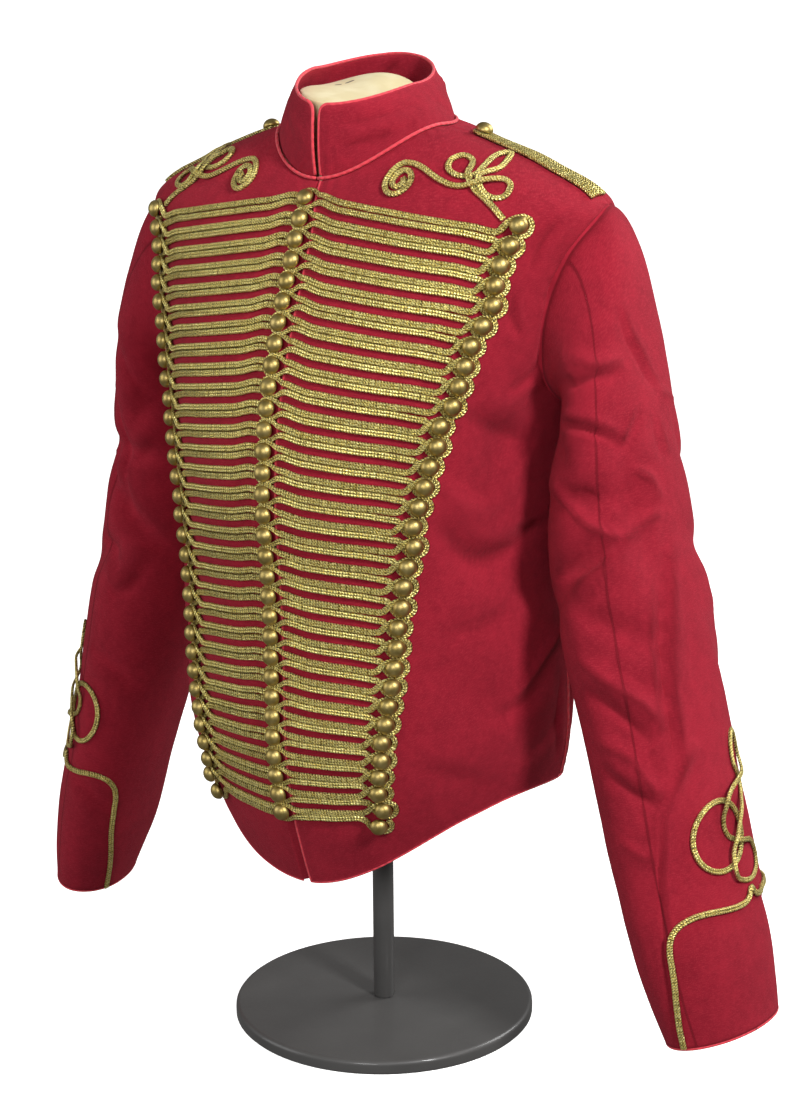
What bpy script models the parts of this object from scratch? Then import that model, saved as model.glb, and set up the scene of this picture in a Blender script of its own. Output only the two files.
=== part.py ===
"""Hussar dress tunic on a limbless dress form: a wall of cloth cut in panels, trimmed with gold cord,
domed buttons and piping. Metres, +Z up, the wearer faces -Y, and the wearer's left is +X.
The origin is the middle of the underside of the stand's base."""

from math import asin, cos, degrees, pi, radians, sin

import bmesh
import bpy
import numpy as np

for leftover in list(bpy.data.objects):
    bpy.data.objects.remove(leftover)

# Driving sizes
CLOTH = 0.0022  # thickness of the twill with its canvas
SEAM = 0.0003  # gap between neighbours
PIPE = 0.0026  # piping, across
ROW_PITCH = 0.0162  # from one button to the next
BARS = 31  # cord bars on each front
BAR_TALL, BAR_THICK = 0.0108, 0.0028  # a bar of two cords side by side
BAR_SHARES = (0, 0.25, 0.5, 0.75, 1, 2)  # places along a bar: up to the outer strip, then past it
HALF_BAR = BAR_TALL / ROW_PITCH / 2
BAR_START = 0.0090  # from the centre front to the inner end of the bars
STRIP_HALF = 0.0030  # half width of the cords that join the bars under the outer buttons
FIRST_BUTTON_Z = 0.700
BUTTON_R, BUTTON_TALL = 0.0070, 0.0066
DOME_RINGS = ((1.0, 0.0), (1.0, 0.22), (0.66, 0.78))  # a button's radius and height as shares, from the back
DOME_SIDES = 6
CORD_WIDE, CORD_TALL = 0.0046, 0.0030
CROSSING = 0.0034  # how far a cord rises to pass over another
TRIM_LIFT = 0.0007  # from the cloth to a cord sewn on it
BAR_LIFT = 0.0016  # from the cloth to the bars
STEP = 0.050  # between the sleeve's sections

# The body's sections from hem to neck: height and y of the front, height, x and y of the side, height and y
# of the back, and how sharply the section dips
SIDE_X = 3  # the column of the side's x
BODY_ROWS = (
    (0.159, -0.1180, 0.237, 0.162, 0.012, 0.222, 0.092, 3.4),  # hem
    (0.215, -0.1390, 0.264, 0.167, 0.012, 0.256, 0.095, 3.2),
    (0.275, -0.1495, 0.303, 0.170, 0.009, 0.303, 0.097, 3.0),  # waist
    (0.345, -0.1510, 0.360, 0.1695, 0.006, 0.362, 0.101, 2.8),
    (0.415, -0.1525, 0.420, 0.167, 0.005, 0.424, 0.107, 2.6),
    (0.480, -0.1570, 0.480, 0.168, 0.004, 0.486, 0.115, 2.4),
    (0.545, -0.1500, 0.545, 0.176, 0.002, 0.552, 0.121, 2.2),  # underarm
    (0.605, -0.1335, 0.605, 0.192, 0.000, 0.615, 0.120, 2.2),
    (0.655, -0.1145, 0.662, 0.202, 0.000, 0.668, 0.110, 2.2),
    (0.682, -0.1040, 0.698, 0.205, 0.000, 0.708, 0.092, 2.2),  # shoulder point
    (0.697, -0.0970, 0.723, 0.160, -0.001, 0.735, 0.074, 2.2),
    (0.7065, -0.0885, 0.742, 0.110, -0.006, 0.752, 0.063, 2.2),
    (0.7150, -0.0800, 0.754, 0.070, -0.012, 0.762, 0.056, 2.2),  # neck seam
)
HEM, NECK = 0.0, len(BODY_ROWS) - 1.0
COLLAR_TOP = (0.7706, -0.0816, 0.7904, 0.0478, -0.0124, 0.8050, 0.0547, 1.45)
TOP_TILT = -0.123  # slope of the collar's top edge and the neck cap toward the wearer's left, as it is worn
COLLAR_GAP = (0.0036, 0.0042)  # from the centre front to the collar's edges, at its foot and its top
COLLAR_CORNER = 0.0060  # the round of its top corners
COLLAR_BOW = 0.002
COLLAR_TALL = COLLAR_TOP[0] - BODY_ROWS[-1][0]
COLLAR_SHARES, COLLAR_STEPS = (0, 0.34, 0.67, 1), 22  # rows up the collar, and columns round it
PIPE_REACH = PIPE / 2 + 1.5 * SEAM  # from a cloth edge to the middle of the piping along it
PIPE_START = 0.05  # share of the collar's height at which the piping up its front edges starts

# The armhole is an oval in turn and height, divided into steps round from its top by way of the front
ARMHOLE_TURN, ARMHOLE_TURN_HALF = radians(94), radians(26)
ARMHOLE_Z, ARMHOLE_Z_HALF = 0.6205, 0.0765
ARM_STEPS, FORE_SEAM, HIND_SEAM = 18, 3, 13
SIDE_STEPS, SHOULDER_STEPS = 6, 4  # a panel's rows below and above the armhole
FRONT_COLUMNS, BACK_COLUMNS = 9, 7
SHOULDER_LEVEL = 9.0  # the row of the shoulder point
SIDEMOST = 0.995  # the share of the half width that the front reaches

FRONT_EDGE = radians(3.4)  # the left front's edge, past the buttons
UNDERLAP = radians(8)  # how far the right front passes under it
UNDERLAP_START, UNDERLAP_FULL = radians(0.3), radians(2.0)  # where it sinks under the left front

# The left sleeve's sections from upper arm to cuff: x and height of its outer and its inner line, y of its
# middle, half its depth, and its twist in degrees
SLEEVE_ROWS = (
    (0.2410, 0.600, 0.1840, 0.530, 0.002, 0.064, 0),
    (0.2490, 0.550, 0.1750, 0.500, 0.004, 0.068, 2),
    (0.2580, 0.500, 0.1715, 0.468, 0.006, 0.071, 5),
    (0.2670, 0.455, 0.1730, 0.432, 0.008, 0.074, 6),
    (0.2775, 0.410, 0.1790, 0.392, 0.008, 0.075, 8),  # elbow
    (0.2880, 0.370, 0.1900, 0.350, 0.006, 0.074, 9),
    (0.2980, 0.325, 0.2030, 0.305, 0.004, 0.071, 10),
    (0.3080, 0.275, 0.2180, 0.255, 0.001, 0.069, 11),
    (0.3210, 0.220, 0.2360, 0.200, -0.001, 0.069, 13),
    (0.3340, 0.167, 0.2520, 0.147, -0.003, 0.067, 14),
    (0.3440, 0.118, 0.2680, 0.103, -0.003, 0.064, 15),
    (0.3500, 0.073, 0.2870, 0.061, -0.002, 0.057, 15),  # cuff
)
CUFF = float(len(SLEEVE_ROWS))
SLEEVE_ALONG = (0, 0.35, 0.7, 1, 1.6, 2.2, 2.8, 3.4, 4, 4.6, 5.2, 6, 7, 8.2, 9.5, 10.8, 12)
CAP_BULGE, CAP_DROP = 0.066, 0.070  # how far the sleeve head runs out before it turns down
HEAD_LEAVES = (0.9, -0.3, -0.25)  # the way it leaves the armhole, where y goes with the sine of the turn
SEAM_TURN = SEAM / 2 / 0.055  # half a seam, as a turn round the sleeve

# Soft troughs on the left half of the body: turn and height of the middle, lean, length, width, depth
BODY_FOLDS = (
    (66, 0.520, 62, 0.050, 0.018, 0.0050),
    (60, 0.440, -30, 0.050, 0.019, 0.0055),
    (58, 0.320, -35, 0.055, 0.020, 0.0050),
    (84, 0.400, -15, 0.050, 0.018, 0.0040),
    (118, 0.380, 12, 0.060, 0.019, 0.0045),
    (150, 0.340, -8, 0.055, 0.020, 0.0040),
    (140, 0.560, -60, 0.050, 0.019, 0.0045),
)
# Troughs on the left sleeve: degrees round from the outer line by the front, row, lean, and sizes as above
SLEEVE_FOLDS = (
    (80, 2.1, 8, 0.055, 0.015, 0.0090),
    (95, 3.4, -35, 0.060, 0.014, 0.0090),
    (60, 4.4, 30, 0.045, 0.015, 0.0070),
    (30, 2.6, 80, 0.075, 0.015, 0.0050),
    (110, 1.0, 45, 0.040, 0.014, 0.0060),
    (-60, 3.6, 20, 0.055, 0.016, 0.0070),
    (-95, 2.3, -25, 0.050, 0.016, 0.0070),
    (-50, 5.8, 60, 0.060, 0.016, 0.0050),
)

# The outer button column from top to bottom: distance across and height. Its first and last rows lie beyond
# the buttons and only guide the curve
OUTER_COLUMN = (
    (0.1944, 0.7931), (0.1663, 0.6847), (0.1353, 0.5724), (0.1070, 0.4560), (0.0919, 0.3343),
    (0.0769, 0.2229), (0.0629, 0.1142),
)

# How far each of its buttons was set to the side by hand, from the first down, in mm
OUTER_SET = (
    0.2, -0.9, -2.0, -0.4, 3.2, 1.8, -0.5, 0, 0.3, 0.3, -2.4, -0.3, -0.7, -0.1, -0.1, -0.7,
    2.3, 0.5, -0.4, 0.3, -0.6, 0.2, 0.4, 0.5, 0.1, 0, -0.9, 0.1, -0.7, -0.8, 2.5, -0.9,
)

# Cord routes. Breast knot: across and height in mm, cords crossed over
BREAST_KNOT = (
    (157, 689, 0), (147.5, 697.5, 0), (138.4, 703.9, 0), (130.3, 708.9, 0), (124.5, 713.4, 0.5),
    (120.5, 718, 1), (119.4, 723, 0.6), (117, 728, 0), (111.5, 731.4, 0), (105.5, 731.8, 0), (102, 728.5, 0),
    (104, 723, 0), (110.5, 719, 0), (118.5, 717.6, 0), (125, 719.2, 0), (126.4, 725.5, 0), (127.5, 732, 0),
    (132, 733.3, 0), (136.6, 729, 0), (137, 723.5, 0), (131.8, 720.6, 0.3), (128.4, 716.5, 1),
    (131.5, 711.5, 0.8), (138, 706.4, 0.2), (146.6, 703.3, 0), (152.8, 705, 0), (152.4, 710.5, 0),
    (146, 714.8, 0.2), (138.5, 714.2, 0.8), (130.5, 712, 1.4), (122.5, 711.4, 0.4), (114, 712, 0),
    (105, 714.4, 0), (96, 718, 0), (86.5, 722.6, 0), (77.5, 725.8, 0), (70, 726.4, 0),
)
SPIRAL_MID, SPIRAL_R = (0.0725, 0.7145), 0.0118
SPIRAL_TURNS, SPIRAL_EYE = 1.85, 0.20  # turns, and the inner end's radius as a share of the outer one's
SPIRAL_START = pi / 2 + 0.28
SPIRAL_STEPS = 18
KNOT_WIDE, CHAIN_WIDE = 0.9, 0.8  # their cords' widths as shares of the full one
# Cuff cords: degrees round from the outer line, mm above the cuff's end, cords crossed over
CUFF_BRAID = (
    (93, 2, 0), (90, 20, 0), (85, 38, 0), (81.5, 54, 0), (80, 70, 0), (79, 82, 0), (75.5, 92, 0), (68, 99, 0),
    (57, 102.5, 0), (45, 102.5, 0), (31, 100, 0), (19, 98, 0), (10, 98, 0), (4.5, 100.5, 0), (0, 106.5, 0),
)
CUFF_CHAIN = (
    (-1, 113, 0), (8, 115.5, 0), (14, 119.5, 0.6), (16.5, 124.5, 1.15), (17, 129, 1.25), (16.5, 134, 1.15),
    (15, 141, 1.2), (11, 149, 1.6), (6, 155.5, 1.2), (1.5, 162.5, 1.2), (-3, 169.5, 1.1), (-9, 175, 0.3),
    (-13, 181, 0), (-13.5, 187.5, 0), (-11, 194, 0), (-7, 202, 0), (-6, 211, 0), (-7, 220, 0), (-12, 227, 0),
    (-17, 219.5, 0), (-19, 210, 0), (-17, 200.5, 0.6), (-11, 194, 1.3), (-3, 190, 1.1), (3, 188, 1.1),
    (8, 185, 1.15), (12, 181, 1.25), (15, 175.5, 1.15), (17, 168, 0.4), (17, 161, 0), (15.5, 154.5, 0),
    (11, 149, 0), (5.5, 146, 1), (1, 144.5, 1.25), (-4, 143, 1.15), (-10, 141, 0.3), (-15.5, 137, 0),
    (-18.5, 130, 0), (-16.5, 121, 0), (-9, 115, 0),
)
CUFF_RING, CUFF_RING_R, CUFF_RING_STEPS = (22, 155), 26.5, 22  # its middle, radius in mm, and points
# For each cuff, degrees that it has turned forward and mm that its cords above the seam line sit higher
CUFF_TURNED = (("left", 1, -18, 0), ("right", -1, 47, 25))
RAISED_FROM = 80  # mm above the cuff's end from which they do so fully
SLEEVE_ROUND = 66  # mm of the sleeve's round for one radian at the cuff

SHOULDER_CORD = (0.092, 0.200)  # its ends, across
SHOULDER_CORD_Y = (-0.001, -0.004)  # its middle line's y at those ends
SHOULDER_CORD_HALF, SHOULDER_CORD_STEPS = (0.0074, 0.0092), 6

# The dress form: levels of the body with the ease that its torso has there, then the neck's sections
FORM_FOOT_Z, FORM_FOOT_EASE = 0.262, 0.012
FORM_ROWS = (
    (3.2, 0.0120), (4.2, 0.0110), (5.2, 0.0100), (6.4, 0.0090), (7.4, 0.0065), (8.4, 0.0042),
    (9.2, 0.0030), (9.8, 0.0008), (10.5, 0.0008), (11.2, 0.0012), (11.7, 0.0050),
)
NECK_SECTIONS = (
    (0.735, -0.0640, 0.758, 0.053, -0.014, 0.768, 0.040, 2.2),
    (0.7670, -0.0700, 0.7715, 0.0495, -0.014, 0.7872, 0.0262, 2.2),
    (0.7720, -0.0687, 0.7763, 0.0481, -0.014, 0.7912, 0.0244, 2.2),
)
FORM_STEPS = 16
FORM_FRONT_ROOM = 0.0052  # more ease at the centre front, for the underlap
POLE_R, POLE_SIDES = 0.0090, 12
BASE_R, BASE_TALL, BASE_EDGE, BASE_SIDES = 0.128, 0.012, 0.004, 28

# Colour, roughness and metallic value of each finish
CRIMSON = ((0.36, 0.025, 0.045), 0.85)
CORAL = ((0.72, 0.05, 0.07), 0.6)
GOLD_CORD = ((0.62, 0.47, 0.12), 0.4, 0.8)
BRASS = ((0.45, 0.34, 0.14), 0.35, 1.0)
LINEN = ((0.80, 0.72, 0.50), 0.9)
STEEL = ((0.25, 0.25, 0.26), 0.4, 0.9)


# --- surfaces: a place is a pair of numbers, and each surface gives the point there ----------------
def row_at(rows, level):
    """One section between the rows of a table, along a smooth curve through them."""
    table = np.array(rows)
    level = min(max(level, 0.0), len(rows) - 1.0)
    first = min(int(level), len(rows) - 2)
    t = level - first
    before, start, end, after = (table[min(max(first + k, 0), len(rows) - 1)] for k in (-1, 0, 1, 2))
    bend = 2 * before - 5 * start + 4 * end - after
    swing = 3 * start - before - 3 * end + after
    return start + 0.5 * t * (end - before + t * (bend + t * swing))


def halfway(test, low, high):
    """The place between two others where a test stops being true."""
    for _ in range(22):
        middle = (low + high) / 2
        if test(middle):
            low = middle
        else:
            high = middle
    return (low + high) / 2


def trough(across, along, lean, long, wide, depth):
    """Depth of one soft trough at a place given from its middle, in metres."""
    c, s = cos(radians(lean)), sin(radians(lean))
    run, side = across * c + along * s, along * c - across * s
    return depth * np.exp(-((run / long) ** 2) - (side / wide) ** 2)


def section_point(section, turn):
    """A point of one section: turn is 0 at the centre front, pi/2 at the wearer's left side."""
    front_z, front_y, side_z, side_x, side_y, back_z, back_y, dip = section
    end_y, end_z = (front_y, front_z) if cos(turn) > 0 else (back_y, back_z)
    share = abs(cos(turn))
    y = side_y + (end_y - side_y) * share
    return np.array((side_x * sin(turn), y, side_z + (end_z - side_z) * share**dip))


def body_point(turn, level):
    """The body's cloth, outer face: turn round the body, and level up the rows of its table."""
    section = row_at(BODY_ROWS, level)
    point = section_point(section, turn)
    sunk = 0.0
    for at, height, lean, long, wide, depth in BODY_FOLDS:
        sunk += trough((turn - radians(at)) * section[SIDE_X], point[2] - height, lean, long, wide, depth)
    return point - np.array((sin(turn), -cos(turn), 0.0)) * sunk


def level_at(turn, height):
    """The level at which the body has this height at this turn."""
    return halfway(lambda level: body_point(turn, level)[2] < height, HEM, NECK)


def front_spot(across, height):
    """Turn and level of the front's point at this distance across and this height."""
    def turn_at(level):
        return asin(min(across / row_at(BODY_ROWS, level)[SIDE_X], SIDEMOST))

    level = halfway(lambda place: body_point(turn_at(place), place)[2] < height, HEM, NECK)
    return turn_at(level), level


def right_front_point(turn, level):
    """The right front, mirrored: past the centre it sinks under the left one."""
    sunk = min(max((-turn - UNDERLAP_START) / (UNDERLAP_FULL - UNDERLAP_START), 0.0), 1.0)
    level = min(max(level, HEM), NECK)
    return lifted(body_point, turn, level, -sunk * (CLOTH + 3 * SEAM))[0]


def sleeve_ring(around, row):
    """A point of the left sleeve below its head, around in radians from the outer line by the front."""
    outer_x, outer_z, inner_x, inner_z, mid_y, half_y, twist = row_at(SLEEVE_ROWS, row)
    middle = np.array(((outer_x + inner_x) / 2, mid_y, (outer_z + inner_z) / 2))
    out = np.array(((outer_x - inner_x) / 2, 0.0, (outer_z - inner_z) / 2))
    narrow = np.linalg.norm(out)
    out, fore, turned = out / narrow, np.array((0.0, -1.0, 0.0)), radians(twist)
    wide_axis = cos(turned) * fore - sin(turned) * out
    narrow_axis = cos(turned) * out + sin(turned) * fore
    sunk = 0.0
    for at, fold_row, lean, long, wide, depth in SLEEVE_FOLDS:
        gap = (around - radians(at) + pi) % (2 * pi) - pi
        sunk += trough(gap * half_y, (fold_row - row) * STEP, lean, long, wide, depth)
    sway = cos(around) * narrow_axis + sin(around) * wide_axis
    return middle + cos(around) * narrow_axis * narrow + sin(around) * wide_axis * half_y - sway * sunk


def armhole_spot(around):
    """Turn and height on the armhole, around from its top by way of the front."""
    turn = ARMHOLE_TURN - ARMHOLE_TURN_HALF * sin(around)
    return turn, ARMHOLE_Z + ARMHOLE_Z_HALF * cos(around)


def sleeve_point(around, along):
    """The left sleeve's outer face: along is 0 at the armhole, 1 at the first section of the table."""
    if along >= 1.0:
        return sleeve_ring(around, along - 1.0)
    turn, height = armhole_spot(around)
    leave = np.array(HEAD_LEAVES) * (1.0, sin(around), 1.0)
    leave /= np.linalg.norm(leave)
    start = body_point(turn, level_at(turn, height)) + leave * SEAM * 3
    end = sleeve_ring(around, 0.0)
    arrive = (sleeve_ring(around, 0.5) - end) * (2 * CAP_DROP / STEP)
    t = along
    rise, leaving = 3 * t**2 - 2 * t**3, t * (1 - t) ** 2
    return start * (1 - rise) + end * rise + leave * leaving * CAP_BULGE + arrive * t**2 * (t - 1)


def collar_point(turn, share):
    """The collar's outer face: share is 0 at the neck seam and 1 at the top edge."""
    foot = body_point(turn, NECK) + np.array((0.0, 0.0, SEAM * 2))
    head = section_point(COLLAR_TOP, turn)
    head[2] += TOP_TILT * head[0]
    bow = np.array((sin(turn), -cos(turn), 0.0)) * COLLAR_BOW * sin(pi * share)
    return foot + (head - foot) * share + bow


def normal_of(surface, first, second, step=0.004):
    """The outward direction of a surface at one of its places."""
    along_first = surface(first + step, second) - surface(first - step, second)
    along_second = surface(first, second + step) - surface(first, second - step)
    normal = np.cross(along_first, along_second)
    return normal / np.linalg.norm(normal)


def lifted(surface, first, second, lift):
    """A point above a surface, with the outward direction there."""
    normal = normal_of(surface, first, second)
    return surface(first, second) + normal * lift, normal


def front_lifted(across, height, lift):
    """The same for a point of the front given by its distance across and its height."""
    return lifted(body_point, *front_spot(across, height), lift)


# --- solids ---------------------------------------------------------------------------------------
def paint(name, colour, roughness, metallic=0.0):
    """One plain material of the object's own."""
    material = bpy.data.materials.new(name)
    material.use_nodes = True
    shader = material.node_tree.nodes["Principled BSDF"]
    shader.inputs["Base Color"].default_value = (*colour, 1.0)
    shader.inputs["Roughness"].default_value = roughness
    shader.inputs["Metallic"].default_value = metallic
    return material


def solid(name, finish, vertices, faces, side=1, smooth=True):
    """One named object from points and faces, mirrored for side -1, with its faces turned outwards."""
    mesh = bpy.data.meshes.new(name)
    mesh.from_pydata([(side * x, y, z) for x, y, z in vertices], [], faces)
    shape = bmesh.new()
    shape.from_mesh(mesh)
    bmesh.ops.recalc_face_normals(shape, faces=shape.faces)
    shape.to_mesh(mesh)
    shape.free()
    if smooth:
        mesh.shade_smooth()
        mesh.set_sharp_from_angle(angle=radians(40))
    mesh.materials.append(paint(name, *finish))
    bpy.context.scene.collection.objects.link(bpy.data.objects.new(name, mesh))


def slab_faces(rows, columns):
    """Faces of a slab whose outer grid of points comes first and whose inner grid follows it."""
    inner = rows * columns
    faces = []
    for r in range(rows - 1):
        for c in range(columns - 1):
            a, b = r * columns + c, (r + 1) * columns + c
            faces.append((a, a + 1, b + 1, b))
            faces.append((inner + b, inner + b + 1, inner + a + 1, inner + a))
    for c in range(columns - 1):
        for a in (c, (rows - 1) * columns + c):
            faces.append((a, a + 1, inner + a + 1, inner + a))
    for r in range(rows - 1):
        for a in (r * columns, r * columns + columns - 1):
            faces.append((a, a + columns, inner + a + columns, inner + a))
    return faces


def slab(name, finish, surface, places, low, high, side=1):
    """A sheet that follows a surface through a grid of its places, between two heights above it."""
    layers = []
    for lift in (high, low):
        layers += [lifted(surface, *spot, lift)[0] for row in places for spot in row]
    solid(name, finish, layers, slab_faces(len(places), len(places[0])), side)


def cord(name, finish, route, section, side=1, closed=False):
    """A cord along a route of (point, outward direction), its section given across and above the route."""
    points, normals = (np.array(part) for part in zip(*route))
    if closed:
        run = np.roll(points, -1, axis=0) - np.roll(points, 1, axis=0)
    else:
        run = np.gradient(points, axis=0)
    across = np.cross(run, normals)
    across /= np.linalg.norm(across, axis=1, keepdims=True)
    corners = [points + across * reach + normals * lift for reach, lift in section]
    vertices = np.stack(corners, axis=1).reshape(-1, 3)
    count, sides = len(points), len(section)
    faces = []
    for i in range(count if closed else count - 1):
        j = (i + 1) % count
        for k in range(sides):
            m = (k + 1) % sides
            faces.append((i * sides + k, i * sides + m, j * sides + m, j * sides + k))
    if not closed:
        faces.append(tuple(range(sides)))
        faces.append(tuple(range(count * sides - 1, (count - 1) * sides - 1, -1)))
    solid(name, finish, vertices, faces, side)


def flat_cord(wide, tall):
    """The section of a cord sewn on: flat below, rounded above."""
    return ((wide * 0.5, 0.0), (wide * 0.36, tall), (-wide * 0.36, tall), (-wide * 0.5, 0.0))


PIPE_SECTION = ((PIPE / 2, 0.0), (0.0, PIPE / 2), (-PIPE / 2, 0.0), (0.0, -PIPE / 2))


# --- fronts and backs -----------------------------------------------------------------------------
def edge_spots(back):
    """Turn and level up a panel's outer edge: side seam, armhole and shoulder seam."""
    sign = -1 if back else 1
    low, high = BODY_ROWS[0][2], ARMHOLE_Z - ARMHOLE_Z_HALF
    spots = [(ARMHOLE_TURN, HEM)]
    for k in range(1, SIDE_STEPS):
        spots.append((ARMHOLE_TURN, level_at(ARMHOLE_TURN, low + (high - low) * k / SIDE_STEPS)))
    for k in range(ARM_STEPS // 2 + 1):
        turn, height = armhole_spot(sign * (pi - 2 * pi * k / ARM_STEPS))
        spots.append((turn, level_at(turn, height)))
    top = spots[-1][1]
    for k in range(1, SHOULDER_STEPS + 1):
        spots.append((ARMHOLE_TURN, top + (NECK - top) * k / SHOULDER_STEPS))
    return [(turn - sign * SEAM / 2 / row_at(BODY_ROWS, level)[SIDE_X], level) for turn, level in spots]


def panel_places(centre, starts, columns):
    """Rows of places from a panel's edge at the centre line to its outer edge."""
    spots = edge_spots(centre > 0)
    places = []
    for k, (end_turn, end_level) in enumerate(spots):
        start_level = NECK * k / (len(spots) - 1)
        turns = list(starts) + [
            starts[-1] + (end_turn - starts[-1]) * c / columns for c in range(1, columns + 1)
        ]
        shares = [max((turn - centre) / (end_turn - centre), 0.0) for turn in turns]
        places.append([(t, start_level + (end_level - start_level) * s * s) for t, s in zip(turns, shares)])
    return places


CENTRE_BACK = pi - SEAM / 2 / BODY_ROWS[5][SIDE_X]
left_places = panel_places(0.0, (FRONT_EDGE,), FRONT_COLUMNS)
right_places = panel_places(0.0, (-UNDERLAP, -UNDERLAP_FULL, -UNDERLAP_START), FRONT_COLUMNS)
back_places = panel_places(pi, (CENTRE_BACK,), BACK_COLUMNS)
slab("front_left", CRIMSON, body_point, left_places, -CLOTH, 0.0)
slab("front_right", CRIMSON, right_front_point, right_places, -CLOTH, 0.0, side=-1)
slab("back_left", CRIMSON, body_point, back_places, -CLOTH, 0.0)
slab("back_right", CRIMSON, body_point, back_places, -CLOTH, 0.0, side=-1)

# --- sleeves: a top half and an under half, joined at the fore and hind seams -----------------------
cuff_turns = []
for name, first, last in (("top", HIND_SEAM - ARM_STEPS, FORE_SEAM), ("under", FORE_SEAM, HIND_SEAM)):
    turns = [2 * pi * k / ARM_STEPS for k in range(first, last + 1)]
    cuff_turns += turns[:-1]
    turns[0] += SEAM_TURN
    turns[-1] -= SEAM_TURN
    places = [[(around, along) for around in turns] for along in SLEEVE_ALONG]
    slab(f"sleeve_{name}_left", CRIMSON, sleeve_point, places, -CLOTH, 0.0)
    slab(f"sleeve_{name}_right", CRIMSON, sleeve_point, places, -CLOTH, 0.0, side=-1)


# --- collar ---------------------------------------------------------------------------------------
def collar_turns(share, inset=0.0):
    """Turns along the collar at a share of its height, from its left front edge round to its right one."""
    wide = BODY_ROWS[-1][SIDE_X] + (COLLAR_TOP[SIDE_X] - BODY_ROWS[-1][SIDE_X]) * share
    gap = COLLAR_GAP[0] + (COLLAR_GAP[1] - COLLAR_GAP[0]) * share - inset
    edge, corner = asin(gap / wide), asin((gap + COLLAR_CORNER) / wide)
    middle = [corner + (2 * pi - 2 * corner) * k / COLLAR_STEPS for k in range(COLLAR_STEPS + 1)]
    return [edge] + middle + [2 * pi - edge]


def collar_places(share):
    """One row of the collar's places: its two ends are lower, which rounds the top corners."""
    ends = share * (1 - COLLAR_CORNER / COLLAR_TALL)
    turns = collar_turns(share)
    shares = [ends] + [share] * (len(turns) - 2) + [ends]
    return list(zip(turns, shares))


slab("collar", CRIMSON, collar_point, [collar_places(share) for share in COLLAR_SHARES], -CLOTH, 0.0)


# --- piping -----------------------------------------------------------------------------------------
def edge_route(surface, places, outward):
    """Piping along an edge of a panel: places on the edge, and which way the edge faces there."""
    route = []
    for (first, second), (first_share, second_share) in zip(places, outward):
        point, normal = lifted(surface, first, second, -CLOTH / 2)
        along_first = surface(first + 0.01, second) - surface(first - 0.01, second)
        along_second = surface(first, second + 0.01) - surface(first, second - 0.01)
        away = along_first / np.linalg.norm(along_first) * first_share
        away = away + along_second / np.linalg.norm(along_second) * second_share
        route.append((point + away * PIPE_REACH, normal))
    return route


left_hem = left_places[0] + back_places[0][-2::-1]
front_edge = [row[0] for row in left_places[:0:-1]]
piped = front_edge + left_hem
facing = [(-1, 0)] * len(front_edge) + [(-1, -1)] + [(0, -1)] * (len(left_hem) - 1)
cord("piping_left", CORAL, edge_route(body_point, piped, facing), PIPE_SECTION)
right_hem = right_places[0][2:] + back_places[0][-2::-1]
facing = [(0, -1)] * len(right_hem)
cord("piping_right", CORAL, edge_route(body_point, right_hem, facing), PIPE_SECTION, side=-1)

around_cuff = [(turn, CUFF) for turn in cuff_turns]
cuff_piping = edge_route(sleeve_point, around_cuff, [(0, 1)] * len(around_cuff))
for side, word in ((1, "left"), (-1, "right")):
    cord(f"cuff_piping_{word}", CORAL, cuff_piping, PIPE_SECTION, side, closed=True)

top_places = collar_places(1)
left_edge = [(collar_turns(s)[0], max(s, PIPE_START)) for s in COLLAR_SHARES[:-1]]
right_edge = [(2 * pi - turn, share) for turn, share in reversed(left_edge)]
facing = [(-1, 0)] * len(left_edge) + [(-1, 0.4), (-0.4, 1)] + [(0, 1)] * (len(top_places) - 4)
facing += [(0.4, 1), (1, 0.4)] + [(1, 0)] * len(right_edge)
collar_edge = edge_route(collar_point, left_edge + top_places + right_edge, facing)
cord("collar_piping", CORAL, collar_edge, PIPE_SECTION)

neck_route = []
reach = PIPE / 2 + 2 * SEAM
for turn in collar_turns(0):
    out = np.array((sin(turn), -cos(turn), 0.0))
    normal = normal_of(body_point, turn, NECK)
    rise = reach * (1 - normal @ out) / normal[2]
    neck_route.append((body_point(turn, NECK) + out * reach + np.array((0.0, 0.0, rise)), out))
cord("neck_piping", CORAL, neck_route, PIPE_SECTION)


# --- frogging: a comb of cord bars on each front, joined round the outer buttons ----------------------
def centre_heights():
    """Heights down the centre front, from the first button, a row pitch apart along the cloth."""
    level = level_at(0.0, FIRST_BUTTON_Z)
    spot = body_point(0.0, level)
    heights = [spot[2]]
    while len(heights) <= BARS:
        level = halfway(lambda lower: np.linalg.norm(body_point(0.0, lower) - spot) > ROW_PITCH, 0.0, level)
        spot = body_point(0.0, level)
        heights.append(spot[2])
    return heights


CENTRE_HEIGHTS = centre_heights()


def outer_spot(place):
    """Across and height of a place down the outer column: 1 is the first button, BARS + 1 the last."""
    inside = min(max(place, 1.0), BARS + 1.0)
    across, height = row_at(OUTER_COLUMN, 1 + (inside - 1) / BARS * (len(OUTER_COLUMN) - 3))
    across += np.interp(inside, range(1, BARS + 2), OUTER_SET) / 1000
    return across, height - (place - inside) * ROW_PITCH


def bar_point(place, share, lift):
    """A point of a bar: place counts the bars down, share runs from its start to the outer column."""
    across, outer_height = outer_spot(place + 0.5)
    counted = min(max(place, 1.0), float(BARS))
    inner_height = np.interp(counted, range(1, BARS + 2), CENTRE_HEIGHTS) - (place - counted) * ROW_PITCH
    reach = across - STRIP_HALF - BAR_START
    x = BAR_START + reach * min(share, 1.0) + 2 * STRIP_HALF * (share > 1.0)
    return front_lifted(x, inner_height + (outer_height - inner_height) * x / across, lift)[0]


BAR_EDGES = [bar + half for bar in range(1, BARS + 1) for half in (-HALF_BAR, HALF_BAR)]


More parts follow.
